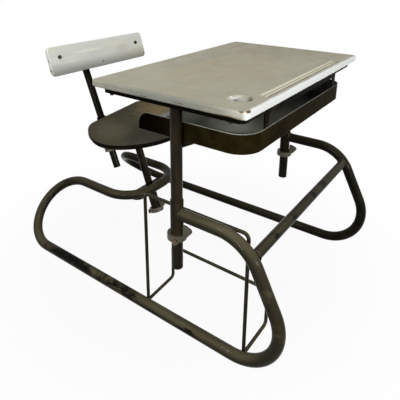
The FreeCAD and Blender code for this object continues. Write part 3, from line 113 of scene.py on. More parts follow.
class Shader:
    """A material's node tree, built one call per node."""

    def __init__(self, name):
        self.material = bpy.data.materials.get(name) or bpy.data.materials.new(name)
        self.material.use_nodes = True
        self.tree = self.material.node_tree
        self.tree.nodes.clear()
        self.output = self.tree.nodes.new("ShaderNodeOutputMaterial")
        self.coords = self.tree.nodes.new("ShaderNodeTexCoord").outputs["Object"]
        self.surface = self.tree.nodes.new("ShaderNodeBsdfPrincipled")
        self.tree.links.new(self.surface.outputs[0], self.output.inputs[0])

    def feed(self, socket, value):
        """Link a socket, or set it from a number, a vector or a colour."""
        if isinstance(value, bpy.types.NodeSocket):
            self.tree.links.new(value, socket)
        elif socket.type == "RGBA" and hasattr(value, "__len__") and len(value) == 3:
            socket.default_value = (*value, 1.0)
        else:
            socket.default_value = value

    def mapped(self, scale=(1, 1, 1), shift=(0, 0, 0), turn=(0, 0, 0)):
        """The object's coordinates, squeezed, moved and turned."""
        node = self.tree.nodes.new("ShaderNodeMapping")
        self.feed(node.inputs["Vector"], self.coords)
        node.inputs["Scale"].default_value = scale
        node.inputs["Location"].default_value = shift
        node.inputs["Rotation"].default_value = turn
        return node.outputs[0]

    def noise(self, scale, detail=4.0, rough=0.55, vector=None, distort=0.0):
        """Soft noise round 0.5: waves per metre, layers of finer detail and their strength.

        It lies on the object's coordinates unless a vector is given.
        """
        node = self.tree.nodes.new("ShaderNodeTexNoise")
        self.feed(node.inputs["Vector"], self.coords if vector is None else vector)
        node.inputs["Scale"].default_value = scale
        node.inputs["Detail"].default_value = detail
        node.inputs["Roughness"].default_value = rough
        node.inputs["Distortion"].default_value = distort
        return node.outputs["Fac"]

    def cells(self, scale):
        """The distance from the nearest of many scattered points."""
        node = self.tree.nodes.new("ShaderNodeTexVoronoi")
        self.feed(node.inputs["Vector"], self.coords)
        node.inputs["Scale"].default_value = scale
        return node.outputs["Distance"]

    def math(self, operation, first, second=0.0):
        """One step with numbers."""
        node = self.tree.nodes.new("ShaderNodeMath")
        node.operation = operation
        self.feed(node.inputs[0], first)
        self.feed(node.inputs[1], second)
        return node.outputs[0]

    def times(self, first, second):
        return self.math("MULTIPLY", first, second)

    def most(self, first, second):
        return self.math("MAXIMUM", first, second)

    def vector_math(self, operation, first, second=(0, 0, 0)):
        """One step with vectors; a length or a dot product is a number."""
        node = self.tree.nodes.new("ShaderNodeVectorMath")
        node.operation = operation
        self.feed(node.inputs[0], first)
        self.feed(node.inputs[1], second)
        gives_number = operation in ("LENGTH", "DOT_PRODUCT")
        return node.outputs["Value" if gives_number else "Vector"]

    def span(self, value, low, high, out_low=0.0, out_high=1.0):
        """Remap a value smoothly from one range to another."""
        node = self.tree.nodes.new("ShaderNodeMapRange")
        node.interpolation_type = "SMOOTHSTEP"
        self.feed(node.inputs["Value"], value)
        node.inputs["From Min"].default_value = low
        node.inputs["From Max"].default_value = high
        node.inputs["To Min"].default_value = out_low
        node.inputs["To Max"].default_value = out_high
        return node.outputs[0]

    def fade(self, value, low, high):
        """1 below the range, 0 above it."""
        return self.span(value, low, high, 1.0, 0.0)

    def band(self, value, rise, fall):
        """1 between two ranges, 0 before the first and past the second."""
        return self.times(self.span(value, *rise), self.fade(value, *fall))

    def mix(self, share, first, second):
        """The first colour, turning to the second by a share."""
        node = self.tree.nodes.new("ShaderNodeMix")
        node.data_type = "RGBA"
        self.feed(node.inputs[0], share)
        self.feed(node.inputs[6], first)
        self.feed(node.inputs[7], second)
        return node.outputs[2]

    def mix_number(self, share, first, second):
        """The first number, turning to the second by a share."""
        node = self.tree.nodes.new("ShaderNodeMix")
        self.feed(node.inputs[0], share)
        self.feed(node.inputs[2], first)
        self.feed(node.inputs[3], second)
        return node.outputs[0]

    def part(self, vector, name):
        """The X, Y or Z part of a vector."""
        node = self.tree.nodes.new("ShaderNodeSeparateXYZ")
        self.feed(node.inputs[0], vector)
        return node.outputs[name]

    def axis(self, name):
        """One object coordinate, in metres."""
        return self.part(self.coords, name)

    def facing(self):
        """The direction that the surface faces."""
        return self.tree.nodes.new("ShaderNodeNewGeometry").outputs["Normal"]

    def upward(self):
        """1 where the surface faces up, -1 where it faces down."""
        return self.part(self.facing(), "Z")

    def rounded_facing(self, radius):
        """The direction of a surface whose edges were rounded."""
        bevel = self.tree.nodes.new("ShaderNodeBevel")
        bevel.samples = 4
        bevel.inputs["Radius"].default_value = radius
        return bevel.outputs[0]

    def worn_edges(self, radius, spread=0.35):
        """A share that is 1 on sharp edges."""
        along = self.vector_math("DOT_PRODUCT", self.rounded_facing(radius), self.facing())
        return self.span(self.math("SUBTRACT", 1.0, along), 0.01, spread)

    def blot(self, place, size, soft, ragged, scale):
        """A ragged patch round a place, as a share from 0 to 1."""
        away = self.vector_math("SUBTRACT", self.coords, place)
        away = self.vector_math("LENGTH", self.vector_math("DIVIDE", away, size))
        fray = self.times(self.math("SUBTRACT", self.noise(scale, 5.0, 0.6), 0.5), 2 * ragged)
        return self.fade(self.math("ADD", away, fray), 1.0 - soft, 1.0)

    def relief(self, height, distance, radius):
        """Bump from a height, on edges softened by a small radius."""
        bump = self.tree.nodes.new("ShaderNodeBump")
        bump.inputs["Strength"].default_value = 1.0
        bump.inputs["Distance"].default_value = distance
        self.feed(bump.inputs["Height"], height)
        self.feed(bump.inputs["Normal"], self.rounded_facing(radius))
        self.feed(self.surface.inputs["Normal"], bump.outputs[0])

    def set_surface(self, colour, roughness, metallic=0.0, specular=0.5):
        self.feed(self.surface.inputs["Base Color"], colour)
        self.feed(self.surface.inputs["Roughness"], roughness)
        self.feed(self.surface.inputs["Metallic"], metallic)
        self.surface.inputs["Specular IOR Level"].default_value = specular


def seen_directly(tree):
    """1 for rays from the camera, a mirroring face or glass, 0 for light on the desk."""
    path = tree.nodes.new("ShaderNodeLightPath")
    seen = path.outputs["Is Camera Ray"]
    for ray in ("Is Glossy Ray", "Is Transmission Ray"):
        either = tree.nodes.new("ShaderNodeMath")
        either.operation = "MAXIMUM"
        tree.links.new(seen, either.inputs[0])
        tree.links.new(path.outputs[ray], either.inputs[1])
        seen = either.outputs[0]
    return seen


def shade(colour, share):
    """The same colour, lighter or darker by a share."""
    return tuple(min(1.0, part * share) for part in colour[:3])


# Finishes


def old_paint(name, looks, lighten=1.0, patches=(), wear=1.0, rust=1.0, along=(1.0, 0.22, 1.0), tint=None,
              painted_light_and_rub=(), shine=1.0, shade_slopes=SHADED_BELOW):
    """Old olive paint on steel: clouds, painted shade, dirt, rust, scuffs and dark bare patches.

    along draws the streaks out on the axis where it is small; patches are
    places with sizes; ranges along Y darken the colour, partly as painted shade and
    partly as rubbed paint; the range of upward slope is where painted shade gives way to paint.
    """
    mat = Shader(name)
    base = shade(tint or looks.paint_colour, lighten)
    drawn_out = mat.mapped(scale=along)

    # Clouds, and painted shade where the surface does not look up.
    clouds = mat.noise(7.0, 4.0, 0.55)
    colour = mat.mix(mat.span(clouds, 0.35, 0.68), shade(base, 0.82), shade(base, 1.15))
    painted_shade = mat.span(mat.upward(), *shade_slopes, looks.underside_shade, 0.0)
    colour = mat.mix(painted_shade, colour, shade(base, 0.10))
    # Darker over ranges along Y: partly painted shade, partly rubbed paint.
    for start, end in painted_light_and_rub:
        colour = mat.mix(mat.span(mat.axis("Y"), start, end, 0.0, 0.8), colour, shade(base, 0.22))

    # Grime, brown stains, light streaks and specks of rust.
    grime = mat.noise(22.0, 5.0, 0.6, drawn_out, distort=0.3)
    colour = mat.mix(mat.span(grime, 0.54, 0.70, 0.0, 0.45), colour, shade(base, 0.34))
    brown = mat.noise(13.0, 5.0, 0.65, mat.mapped(scale=along, shift=(3.1, 1.7, 0.4)))
    colour = mat.mix(mat.span(brown, 0.50, 0.70, 0.0, 0.55 * rust), colour, shade(looks.bolt_colour, 0.6))
    streaks = mat.noise(60.0, 3.0, 0.55, mat.mapped(scale=[0.45 * part for part in along]))
    colour = mat.mix(mat.span(streaks, 0.60, 0.72, 0.0, 0.14 * wear), colour, shade(base, 2.2))
    specks = mat.span(mat.noise(260.0, 3.0, 0.6), 0.70, 0.75, 0.0, 0.55 * rust)
    colour = mat.mix(specks, colour, shade(looks.rust_colour, 0.5))

    # Bare patches, torn by a noise, and rubbed edges.
    if patches:
        bare = 0.0
        for place, size in patches:
            bare = mat.most(bare, mat.blot(place, size, soft=0.5, ragged=0.75, scale=34.0))
        torn = mat.span(mat.noise(34.0, 5.0, 0.6, drawn_out), 0.40, 0.47)
        colour = mat.mix(mat.times(bare, torn), colour, looks.bare_colour)
    edges = mat.times(mat.worn_edges(radius=0.0012), mat.span(mat.noise(90.0, 4.0), 0.4, 0.6))
    colour = mat.mix(mat.times(edges, 0.5 * wear), colour, shade(base, 2.6))

    smoothest = looks.gloss_roughness - 0.06
    roughest = looks.gloss_roughness + 0.12
    roughness = mat.span(mat.noise(24.0, 4.0, 0.6), 0.3, 0.7, smoothest, roughest)
    mat.set_surface(colour, roughness, specular=shine * looks.gloss)
    ripple = mat.math("ADD", mat.times(mat.noise(180.0, 3.0, 0.55), 0.04), mat.noise(18.0, 3.0))
    mat.relief(ripple, distance=0.0003, radius=0.0006)
    return mat.material


def bare_steel(name, looks, colour, rust_share, roughness, metallic):
    """Worn bare metal with rust in blots and specks."""
    rusty_roughness = 0.85
    rusty_metallic = 0.1
    mat = Shader(name)
    clouds = mat.noise(60.0, 5.0, 0.6)
    tone = mat.mix(mat.span(clouds, 0.35, 0.7), shade(colour, 0.6), shade(colour, 1.3))
    blots = mat.noise(95.0, 6.0, 0.7, distort=0.3)
    blots = mat.span(blots, 0.62 - 0.3 * rust_share, 0.72 - 0.2 * rust_share)
    fine = mat.noise(500.0, 4.0, 0.7)
    rust = mat.mix(mat.span(fine, 0.3, 0.7), shade(looks.rust_colour, 0.5), shade(looks.rust_colour, 1.5))
    tone = mat.mix(blots, tone, rust)
    tone = mat.mix(mat.times(mat.worn_edges(radius=0.0008), 0.5), tone, shade(colour, 1.9))
    mat.set_surface(tone, roughness=mat.span(blots, 0.0, 1.0, roughness, rusty_roughness),
                    metallic=mat.span(blots, 0.0, 1.0, metallic, rusty_metallic))
    mat.relief(mat.math("ADD", fine, clouds), distance=0.0003, radius=0.0005)
    return mat.material


def groove_light_and_shadow(mat, tone, looks, lip_shadow_colour):
    """Painted light in the desktop's pen groove and before it, painted shadow along its front lip."""
    half = GROOVE_HALF
    away = mat.math("SUBTRACT", mat.axis("Y"), GROOVE_Y)
    ends = mat.fade(mat.math("ABSOLUTE", mat.axis("X")), GROOVE_REACH - 0.005, GROOVE_REACH + 0.005)
    within = mat.fade(mat.math("ABSOLUTE", away), half, half + 0.002)
    sunk = mat.fade(mat.axis("Z"), TOP_HEIGHT - 0.0005, TOP_HEIGHT - 0.0001)
    # Painted light on the groove's lit far wall and on a strip of the top before it.
    lit_brim = mat.band(away, (-1.40 * half, -1.25 * half), (-0.5 * half, 0.0))
    hollow = mat.times(mat.most(mat.times(within, sunk), lit_brim), ends)
    lit_wall = mat.span(away, -0.7 * half, -0.3 * half)
    inside = mat.mix(lit_wall, looks.groove_light_colour, shade(looks.groove_light_colour, 1.4))
    tone = mat.mix(mat.times(hollow, 0.92), tone, inside)
    # Painted shadow along the front lip, broken by a noise.
    lip_shadow = mat.band(away, (0.35 * half, 0.6 * half), (1.25 * half, 1.5 * half))
    painted_shade = mat.span(mat.noise(70.0, 5.0, 0.7), 0.35, 0.6, 0.75, 1.0)
    return mat.mix(mat.times(mat.times(lip_shadow, ends), painted_shade), tone, lip_shadow_colour)


def painted_wood(name, looks, colour, along, smears, edge_share, chips=(), has_groove=False,
                 under=None, sides=None, shine=0.2):
    """Rubbed paint over wood grain, chipped at the edges.

    along draws the grain out on the axis where it is small; chips and smears
    are places with sizes, the smears with a colour and a strength of their
    own; under is the wood below the paint; sides is a colour for faces that
    do not look up, where they have their own.
    """
    mat = Shader(name)
    under = under or looks.wood_colour
    drawn_out = mat.mapped(scale=along)

    # Paint that lets the grain show, warmer in places.
    grain = mat.noise(30.0, 7.0, 0.62, drawn_out, distort=0.25)
    fine = mat.noise(150.0, 5.0, 0.6, drawn_out)
    broad = mat.noise(3.2, 4.0, 0.55)
    tone = mat.mix(mat.span(broad, 0.35, 0.68), shade(colour, 0.90), shade(colour, 1.07))
    tone = mat.mix(mat.span(grain, 0.42, 0.66, 0.0, 0.45), tone, shade(colour, 0.84))
    tone = mat.mix(mat.span(fine, 0.55, 0.72, 0.0, 0.30), tone, shade(colour, 1.16))
    warm = mat.noise(6.5, 5.0, 0.6, mat.mapped(scale=along, shift=(1.3, 0.2, 0.0)))
    red, green, blue = colour
    warm_colour = shade((1.06 * red, 0.96 * green, 0.80 * blue), 0.97)
    tone = mat.mix(mat.span(warm, 0.52, 0.70, 0.0, 0.55), tone, warm_colour)

    # The groove's painted light and shadow, smears (some of them painted shade),
    # side faces, scratches and dark specks.
    if has_groove:
        tone = groove_light_and_shadow(mat, tone, looks, shade(under, 0.7))
    for place, size, smear_colour, strength in smears:
        patch = mat.blot(place, size, soft=0.8, ragged=0.45, scale=45.0)
        tone = mat.mix(mat.times(patch, strength), tone, smear_colour)
    if sides:
        tone = mat.mix(mat.fade(mat.upward(), 0.15, 0.6), tone, sides)
    scratch = mat.noise(75.0, 2.0, 0.5, mat.mapped(scale=along, turn=(0, 0, 0.4)))
    tone = mat.mix(mat.span(scratch, 0.70, 0.74, 0.0, 0.35), tone, shade(colour, 0.6))
    specks = mat.times(mat.fade(mat.cells(95.0), 0.035, 0.06), mat.span(mat.noise(14.0, 3.0), 0.5, 0.62))
    tone = mat.mix(mat.times(specks, 0.55), tone, shade(under, 0.25))

    # Bare wood on the edges and in the chips.
    ragged = mat.span(mat.noise(55.0, 6.0, 0.7), 0.47, 0.56, 0.0, edge_share)
    bare = mat.times(mat.worn_edges(radius=0.0035, spread=0.5), ragged)
    for place, size in chips:
        bare = mat.most(bare, mat.blot(place, size, soft=0.25, ragged=0.7, scale=110.0))
    wood = mat.mix(mat.span(grain, 0.35, 0.65), shade(under, 0.55), shade(under, 1.3))
    tone = mat.mix(bare, tone, wood)

    paint_roughness = mat.span(mat.noise(25.0, 5.0, 0.6), 0.3, 0.7, 0.42, 0.62)
    wood_roughness = 0.8
    mat.set_surface(tone, mat.mix_number(bare, paint_roughness, wood_roughness), specular=shine)
    height = mat.math("ADD", mat.times(grain, 0.6), mat.times(fine, 0.3))
    height = mat.math("SUBTRACT", height, mat.times(bare, 0.9))
    mat.relief(height, distance=0.0005, radius=0.0012)
    return mat.material


# Properties


class DeskLooks(bpy.types.PropertyGroup):
    """Colours and wear of the desk."""

    paint_colour: bpy.props.FloatVectorProperty(
        name="Frame Paint", description="Old paint of the tubes", subtype="COLOR", size=3,
        default=(0.092, 0.080, 0.046), min=0.0, max=1.0)
    post_colour: bpy.props.FloatVectorProperty(
        name="Post Paint", description="Thin dark paint of the posts", subtype="COLOR", size=3,
        default=(0.024, 0.0195, 0.010), min=0.0, max=1.0)
    bare_colour: bpy.props.FloatVectorProperty(
        name="Worn Patches", description="Dark bare patches of the tubes", subtype="COLOR", size=3,
        default=(0.004, 0.004, 0.003), min=0.0, max=1.0)
    rust_colour: bpy.props.FloatVectorProperty(
        name="Rust", description="Rust on fasteners and tubes", subtype="COLOR", size=3,
        default=(0.19, 0.075, 0.026), min=0.0, max=1.0)
    bolt_colour: bpy.props.FloatVectorProperty(
        name="Bolts", description="Browned steel of the bolts", subtype="COLOR", size=3,
        default=(0.075, 0.053, 0.029), min=0.0, max=1.0)
    clamp_colour: bpy.props.FloatVectorProperty(
        name="Collars", description="Metal of the clamp collars", subtype="COLOR", size=3,
        default=(0.070, 0.065, 0.040), min=0.0, max=1.0)
    top_colour: bpy.props.FloatVectorProperty(
        name="Desktop", description="Paint of the desktop", subtype="COLOR", size=3,
        default=(0.39, 0.370, 0.275), min=0.0, max=1.0)
    # Lighter than the top's paint, as painted light on the groove's lit wall.
    groove_light_colour: bpy.props.FloatVectorProperty(
        name="Groove", description="Lighter paint in the pen groove", subtype="COLOR", size=3,
        default=(0.62, 0.60, 0.46), min=0.0, max=1.0)
    rest_colour: bpy.props.FloatVectorProperty(
        name="Backrest", description="Paint of the backrest", subtype="COLOR", size=3,
        default=(0.62, 0.63, 0.57), min=0.0, max=1.0)
    seat_colour: bpy.props.FloatVectorProperty(
        name="Seat", description="Finish of the seat", subtype="COLOR", size=3,
        default=(0.072, 0.065, 0.041), min=0.0, max=1.0)
    wood_colour: bpy.props.FloatVectorProperty(
        name="Bare Wood", description="Wood under chipped paint", subtype="COLOR", size=3,
        default=(0.105, 0.066, 0.037), min=0.0, max=1.0)
    # Lighter than the paint itself, as painted light inside the tray under the desktop.
    tray_inside: bpy.props.FloatVectorProperty(
        name="Tray Inside", description="Paint inside the tray", subtype="COLOR", size=3,
        default=(0.88, 0.93, 0.80), min=0.0, max=1.0)
    tray_outside: bpy.props.FloatVectorProperty(
        name="Tray Outside", description="Paint outside the tray", subtype="COLOR", size=3,
        default=(0.0105, 0.0078, 0.0024), min=0.0, max=1.0)
    gloss_roughness: bpy.props.FloatProperty(
        name="Paint Roughness", description="How matt the frame paint is", default=0.165,
        min=0.1, max=0.9, subtype="FACTOR")
    gloss: bpy.props.FloatProperty(
        name="Paint Gloss", description="How strongly the frame paint mirrors", default=0.035,
        min=0.0, max=1.0, subtype="FACTOR")
    # How dark the painted shade on the undersides of the steel is.
    underside_shade: bpy.props.FloatProperty(
        name="Underside Dirt", description="How dark the undersides of the steel are", default=0.9,
        min=0.0, max=1.0, subtype="FACTOR")
    weld_size: bpy.props.FloatProperty(
        name="Weld Bead", description="Radius of the weld beads", default=0.0022,
        min=0.0005, max=0.006, unit="LENGTH", subtype="DISTANCE")


class DeskStage(bpy.types.PropertyGroup):
    """Camera, light and floor."""

    camera_place: bpy.props.FloatVectorProperty(
        name="Camera", description="Where the camera stands", size=3, subtype="TRANSLATION", unit="LENGTH",
        default=(1.0110, 0.7584, 0.8945))
    camera_azimuth: bpy.props.FloatProperty(
        name="Azimuth", description="Direction the camera stands in", subtype="ANGLE",
        default=math.radians(126.458))
    camera_elevation: bpy.props.FloatProperty(
        name="Elevation", description="How far the camera looks down", subtype="ANGLE",
        default=math.radians(17.794))
    lens: bpy.props.FloatProperty(
        name="Lens", description="Focal length on a 36 mm wide picture", default=39.316,
        min=10.0, max=200.0, unit="CAMERA")
    shift_x: bpy.props.FloatProperty(name="Shift X", description="Sideways lens shift", default=0.0271)
    shift_y: bpy.props.FloatProperty(name="Shift Y", description="Upright lens shift", default=-0.2375)
    key_power: bpy.props.FloatProperty(
        name="Key Light", description="Power of the high light on the near side", default=20.0, min=0.0,
        unit="POWER")
    front_power: bpy.props.FloatProperty(
        name="Front Light", description="Power of the low light before the desk", default=46.0, min=0.0,
        unit="POWER")
    top_power: bpy.props.FloatProperty(
        name="Top Light", description="Power of the large light overhead", default=15.0, min=0.0,
        unit="POWER")
    side_power: bpy.props.FloatProperty(
        name="Strip Light", description="Power of the narrow light near the camera", default=17.0, min=0.0,
        unit="POWER")
    tray_power: bpy.props.FloatProperty(
        name="Tray Light", description="Power of the narrow beam into the tray", default=20.0, min=0.0,
        unit="POWER")
    fill: bpy.props.FloatProperty(
        name="Fill", description="Even light from all round", default=0.06, min=0.0, max=2.0,
        subtype="FACTOR")
    floor_white: bpy.props.FloatProperty(
        name="Floor Whiteness", description="How far the floor near the desk hides its shadow", default=0.95,
        min=0.0, max=1.0, subtype="FACTOR")
    floor_size: bpy.props.FloatProperty(
        name="Floor", description="Width of the floor", default=14.0, min=2.0, unit="LENGTH",
        subtype="DISTANCE")


# Helpers for pieces


def deselect():
    bpy.ops.object.select_all(action="DESELECT")


def pick(piece):
    """Select one piece alone."""
    deselect()
    piece.select_set(True)
    bpy.context.view_layer.objects.active = piece


def found(name):
    """A CAD node or an own piece by its name."""
    return NODES.get(name) or bpy.data.objects[name]


def give(names, material):
    """Paint pieces with one material."""
    for name in names:
        slots = found(name).data.materials
        slots.clear()
        slots.append(material)


def smooth(names, degrees=32.0):
    """Shade pieces smooth, except on edges sharper than an angle."""
    for name in names:
        pick(found(name))
        bpy.ops.object.shade_smooth_by_angle(angle=math.radians(degrees))


def flat(names):
    """Shade pieces face by face."""
    for name in names:
        pick(found(name))
        bpy.ops.object.shade_flat()


def named(name):
    """Name the object and mesh that an operator has just made."""
    piece = bpy.context.active_object
    piece.name = name
    piece.data.name = name
    return piece


def applied(piece):
    """Put a piece's turn, place and scale into its mesh."""
    pick(piece)
    bpy.ops.object.transform_apply(location=True, rotation=True, scale=True)
    return piece


def ring(place, direction, major, minor):
    """A bead round a tube, square to its direction."""
    deselect()
    turn = Vector(direction).to_track_quat("Z", "Y").to_euler()
    bpy.ops.mesh.primitive_torus_add(
        location=place, rotation=turn, major_segments=40, minor_segments=10,
        major_radius=major, minor_radius=minor)
    return bpy.context.active_object


def join_as(name, pieces):
    """One named piece out of several."""
    pick(pieces[0])
    for piece in pieces:
        piece.select_set(True)
    bpy.ops.object.join()
    return applied(named(name))


def looking(direction):
    """The turn of a light or a camera that looks along a direction."""
    return Vector(direction).to_track_quat("-Z", "Y").to_euler()


# Operators


class DESK_OT_paint_frame(bpy.types.Operator):
    """Paint the tubes, sleeves and wires of the frame."""

    bl_idname = "desk.paint_frame"
    bl_label = "Paint Frame"

    def execute(self, context):
        looks = context.scene.desk_looks
        self.side_tubes(looks)
        self.rear(looks)
        self.crossbar(looks)
        sleeves = ["near_post_sleeve", "far_post_sleeve", "seat_socket_sleeve"]
        give(sleeves, old_paint("sleeve_paint", looks, lighten=1.1, along=(1.0, 1.0, 0.3),
                                tint=looks.post_colour))
        wires = ["satchel_rack_tall_wire", "satchel_rack_low_wire"]
        give(wires, old_paint("rack_paint", looks, lighten=0.55, wear=1.2))
        smooth(["near_side_tube", "far_side_tube", "near_rear_loop", "far_rear_loop", "rear_u_tube",
                "crossbar", "seat_socket_plate"] + sleeves + wires)
        return {"FINISHED"}

    def side_tubes(self, looks):
        """Near tube: worn runner, front in painted shade, rubbed rear; far tubes in painted shade."""
        runner = [
            ((TRACK_HALF, POST_Y - 0.40, 0.024), (0.03, 0.16, 0.016)),
            ((TRACK_HALF, POST_Y - 0.20, 0.020), (0.03, 0.13, 0.015)),
            ((TRACK_HALF, POST_Y - 0.08, 0.012), (0.03, 0.07, 0.012)),
            ((TRACK_HALF, POST_Y + 0.03, 0.018), (0.03, 0.06, 0.010)),
        ]
        # Painted shade on the front bend, and rubbed paint towards the rear end.
        shaded_front = (POST_Y + 0.19, POST_Y + 0.26)
        rubbed_rear = (POST_Y - 0.25, POST_Y - 0.62)
        near = old_paint("frame_paint", looks, patches=runner, painted_light_and_rub=[shaded_front, rubbed_rear],
                         shade_slopes=SHADED_SIDES)
        # A darker copy of the frame paint, as painted shade where the desk shades the far side.
        far = old_paint("far_shaded_paint", looks, lighten=0.30, shade_slopes=SHADED_SIDES)
        give(["near_side_tube"], near)
        give(["far_side_tube", "far_rear_loop"], far)

    def rear(self, looks):
        """One bare patch on the near loop's bend."""
        bend = [((0.20, POST_Y - 0.60, 0.175), (0.07, 0.09, 0.03))]
        loop = old_paint("loop_paint", looks, lighten=0.66, patches=bend, along=(1.0, 1.0, 1.0),
                         shade_slopes=SHADED_SIDES)
        give(["near_rear_loop", "rear_u_tube", "seat_socket_plate"], loop)

    def crossbar(self, looks):
        """Bare patches where feet have rested."""
        bar = [
            ((-0.10, CROSSBAR_Y, CROSSBAR_HEIGHT + 0.008), (0.022, 0.03, 0.012)),
            ((-0.03, CROSSBAR_Y, CROSSBAR_HEIGHT + 0.003), (0.018, 0.03, 0.012)),
            ((0.10, CROSSBAR_Y, CROSSBAR_HEIGHT + 0.003), (0.016, 0.03, 0.010)),
            ((0.20, CROSSBAR_Y, CROSSBAR_HEIGHT + 0.003), (0.016, 0.03, 0.012)),
        ]
        # Darker frame paint as painted shade under the desktop, and painted shade on all but the top.
        give(["crossbar"], old_paint("crossbar_paint", looks, lighten=0.58, patches=bar,
                                     along=(0.25, 1.0, 1.0), shade_slopes=(0.0, 1.0)))


class DESK_OT_paint_posts(bpy.types.Operator):
    """Paint the sliding posts, flats and plates."""

    bl_idname = "desk.paint_posts"
    bl_label = "Paint Posts"

    def execute(self, context):
        looks = context.scene.desk_looks
        tint = looks.post_colour
        posts = ["near_desk_post", "far_desk_post"]
        rods = ["seat_post", "backrest_tube"]
        flats = ["near_head_plate", "far_head_plate", "near_post_gusset", "far_post_gusset",
                 "top_edge_frame", "tray_hanger", "seat_carrier_bar", "swivel_disc", "backrest_sleeve",
                 "seat_rim_rod", "seat_strap", "backrest_bow"]
        give(posts, old_paint("post_paint", looks, rust=0.7, along=(1.0, 1.0, 0.25), tint=tint, shine=1.4))
        give(rods, old_paint("rod_paint", looks, lighten=0.5, wear=1.6, tint=tint))
        # Near black paint, partly painted shade: darkened so the edge frame under the desktop looks shaded.
        give(flats, old_paint("dark_paint", looks, lighten=0.35, wear=1.6, tint=tint, shine=0.12))
        smooth(posts + rods + flats)
        return {"FINISHED"}


class DESK_OT_paint_fittings(bpy.types.Operator):
    """Bare metal of the clamp collars, bolts, nuts and screws."""

    bl_idname = "desk.paint_fittings"
    bl_label = "Paint Fittings"

    def execute(self, context):
        looks = context.scene.desk_looks
        collars = ["near_post_collar", "far_post_collar", "seat_collar", "backrest_collar"]
        bolts = ["near_collar_bolt", "far_collar_bolt", "seat_collar_bolt", "backrest_collar_bolt",
                 "tray_side_bolt", "tray_side_nut", "pivot_bolt", "pivot_nut", "seat_screws"]
        dark = ["backrest_bolts", "backrest_nuts", "desktop_screws"]
        dark_colour = shade(looks.clamp_colour, 0.3)
        give(collars, bare_steel("collar_steel", looks, looks.clamp_colour, rust_share=0.05,
                                 roughness=0.5, metallic=0.2))
        give(bolts, bare_steel("rusty_steel", looks, looks.bolt_colour, rust_share=0.35,
                               roughness=0.55, metallic=0.3))
        give(dark, bare_steel("dark_steel", looks, dark_colour, rust_share=0.2,
                              roughness=0.45, metallic=0.5))
        smooth(collars + bolts + dark)
        return {"FINISHED"}


class DESK_OT_paint_tray(bpy.types.Operator):
    """Grey-green paint inside the book tray, dark paint outside."""

    bl_idname = "desk.paint_tray"
    bl_label = "Paint Tray"

    def execute(self, context):
        looks = context.scene.desk_looks
        mat = Shader("tray_paint")
        clouds = mat.noise(11.0, 5.0, 0.6)
        cloudy = mat.span(clouds, 0.35, 0.7)
        turned_in = self.turned_in(mat)
        colour = mat.mix(turned_in, self.outside(mat, looks, cloudy), self.inside(mat, looks, cloudy))
        scuffs = mat.noise(34.0, 6.0, 0.7, mat.mapped(scale=(0.25, 0.25, 1.0)))
        scuffed = mat.mix(turned_in, shade(looks.tray_outside, 2.2), shade(looks.tray_inside, 0.6))
        colour = mat.mix(mat.span(scuffs, 0.6, 0.7, 0.0, 0.5), colour, scuffed)
        colour = mat.mix(self.rim(mat), colour, shade(looks.tray_inside, 0.35))
        specks = mat.span(mat.noise(240.0, 3.0, 0.6), 0.66, 0.73, 0.0, 0.4)
        colour = mat.mix(specks, colour, shade(looks.rust_colour, 0.4))
        mat.set_surface(colour, mat.span(clouds, 0.3, 0.7, 0.2, 0.4), specular=0.06 * looks.gloss)
        ripple = mat.math("ADD", mat.noise(130.0, 4.0), mat.noise(14.0, 3.0))
        mat.relief(ripple, distance=0.0005, radius=0.0006)
        give(["book_tray"], mat.material)
        smooth(["book_tray"])
        return {"FINISHED"}

    def turned_in(self, mat):
        """1 on faces that look towards the point over the tray, 0 on the others."""
        towards = mat.vector_math("SUBTRACT", OVER_TRAY, mat.coords)
        return mat.span(mat.vector_math("DOT_PRODUCT", towards, mat.facing()), -0.01, 0.01)

    def inside(self, mat, looks, cloudy):
        """Light paint, with painted shade towards the rear and towards the far end."""
        paint = looks.tray_inside
        colour = mat.mix(cloudy, shade(paint, 0.8), shade(paint, 1.15))
        front = mat.span(mat.axis("Y"), POST_Y - 0.06, POST_Y + 0.12)
        colour = mat.mix(front, shade(paint, 0.35), colour)
        near = mat.span(mat.axis("X"), -0.26, 0.12)
        return mat.mix(near, shade(paint, 0.10), colour)

    def outside(self, mat, looks, cloudy):
        """Near black paint, brown in places, with painted shade towards the rear."""
        paint = looks.tray_outside
        colour = mat.mix(cloudy, shade(paint, 0.75), shade(paint, 1.5))
        brown = mat.noise(17.0, 5.0, 0.6, mat.mapped(shift=(0.7, 2.0, 0.0)))
        colour = mat.mix(mat.span(brown, 0.48, 0.7, 0.0, 0.5), colour, shade(paint, 2.4))
        rear = mat.fade(mat.axis("Y"), POST_Y - 0.10, POST_Y + 0.02)
        return mat.mix(rear, colour, shade(paint, 0.15))

    def rim(self, mat):
        """A painted highlight along the upper rim, and paint rubbed light on sharp edges."""
        upper = mat.span(mat.axis("Z"), RIM_HEIGHT - 0.0018, RIM_HEIGHT - 0.0004)
        broken = mat.span(mat.noise(40.0, 4.0), 0.3, 0.5, 0.35, 1.0)
        painted_light_and_rub = mat.times(mat.times(upper, broken), 0.6)
        return mat.most(painted_light_and_rub, mat.times(mat.worn_edges(radius=0.0012), 0.6))


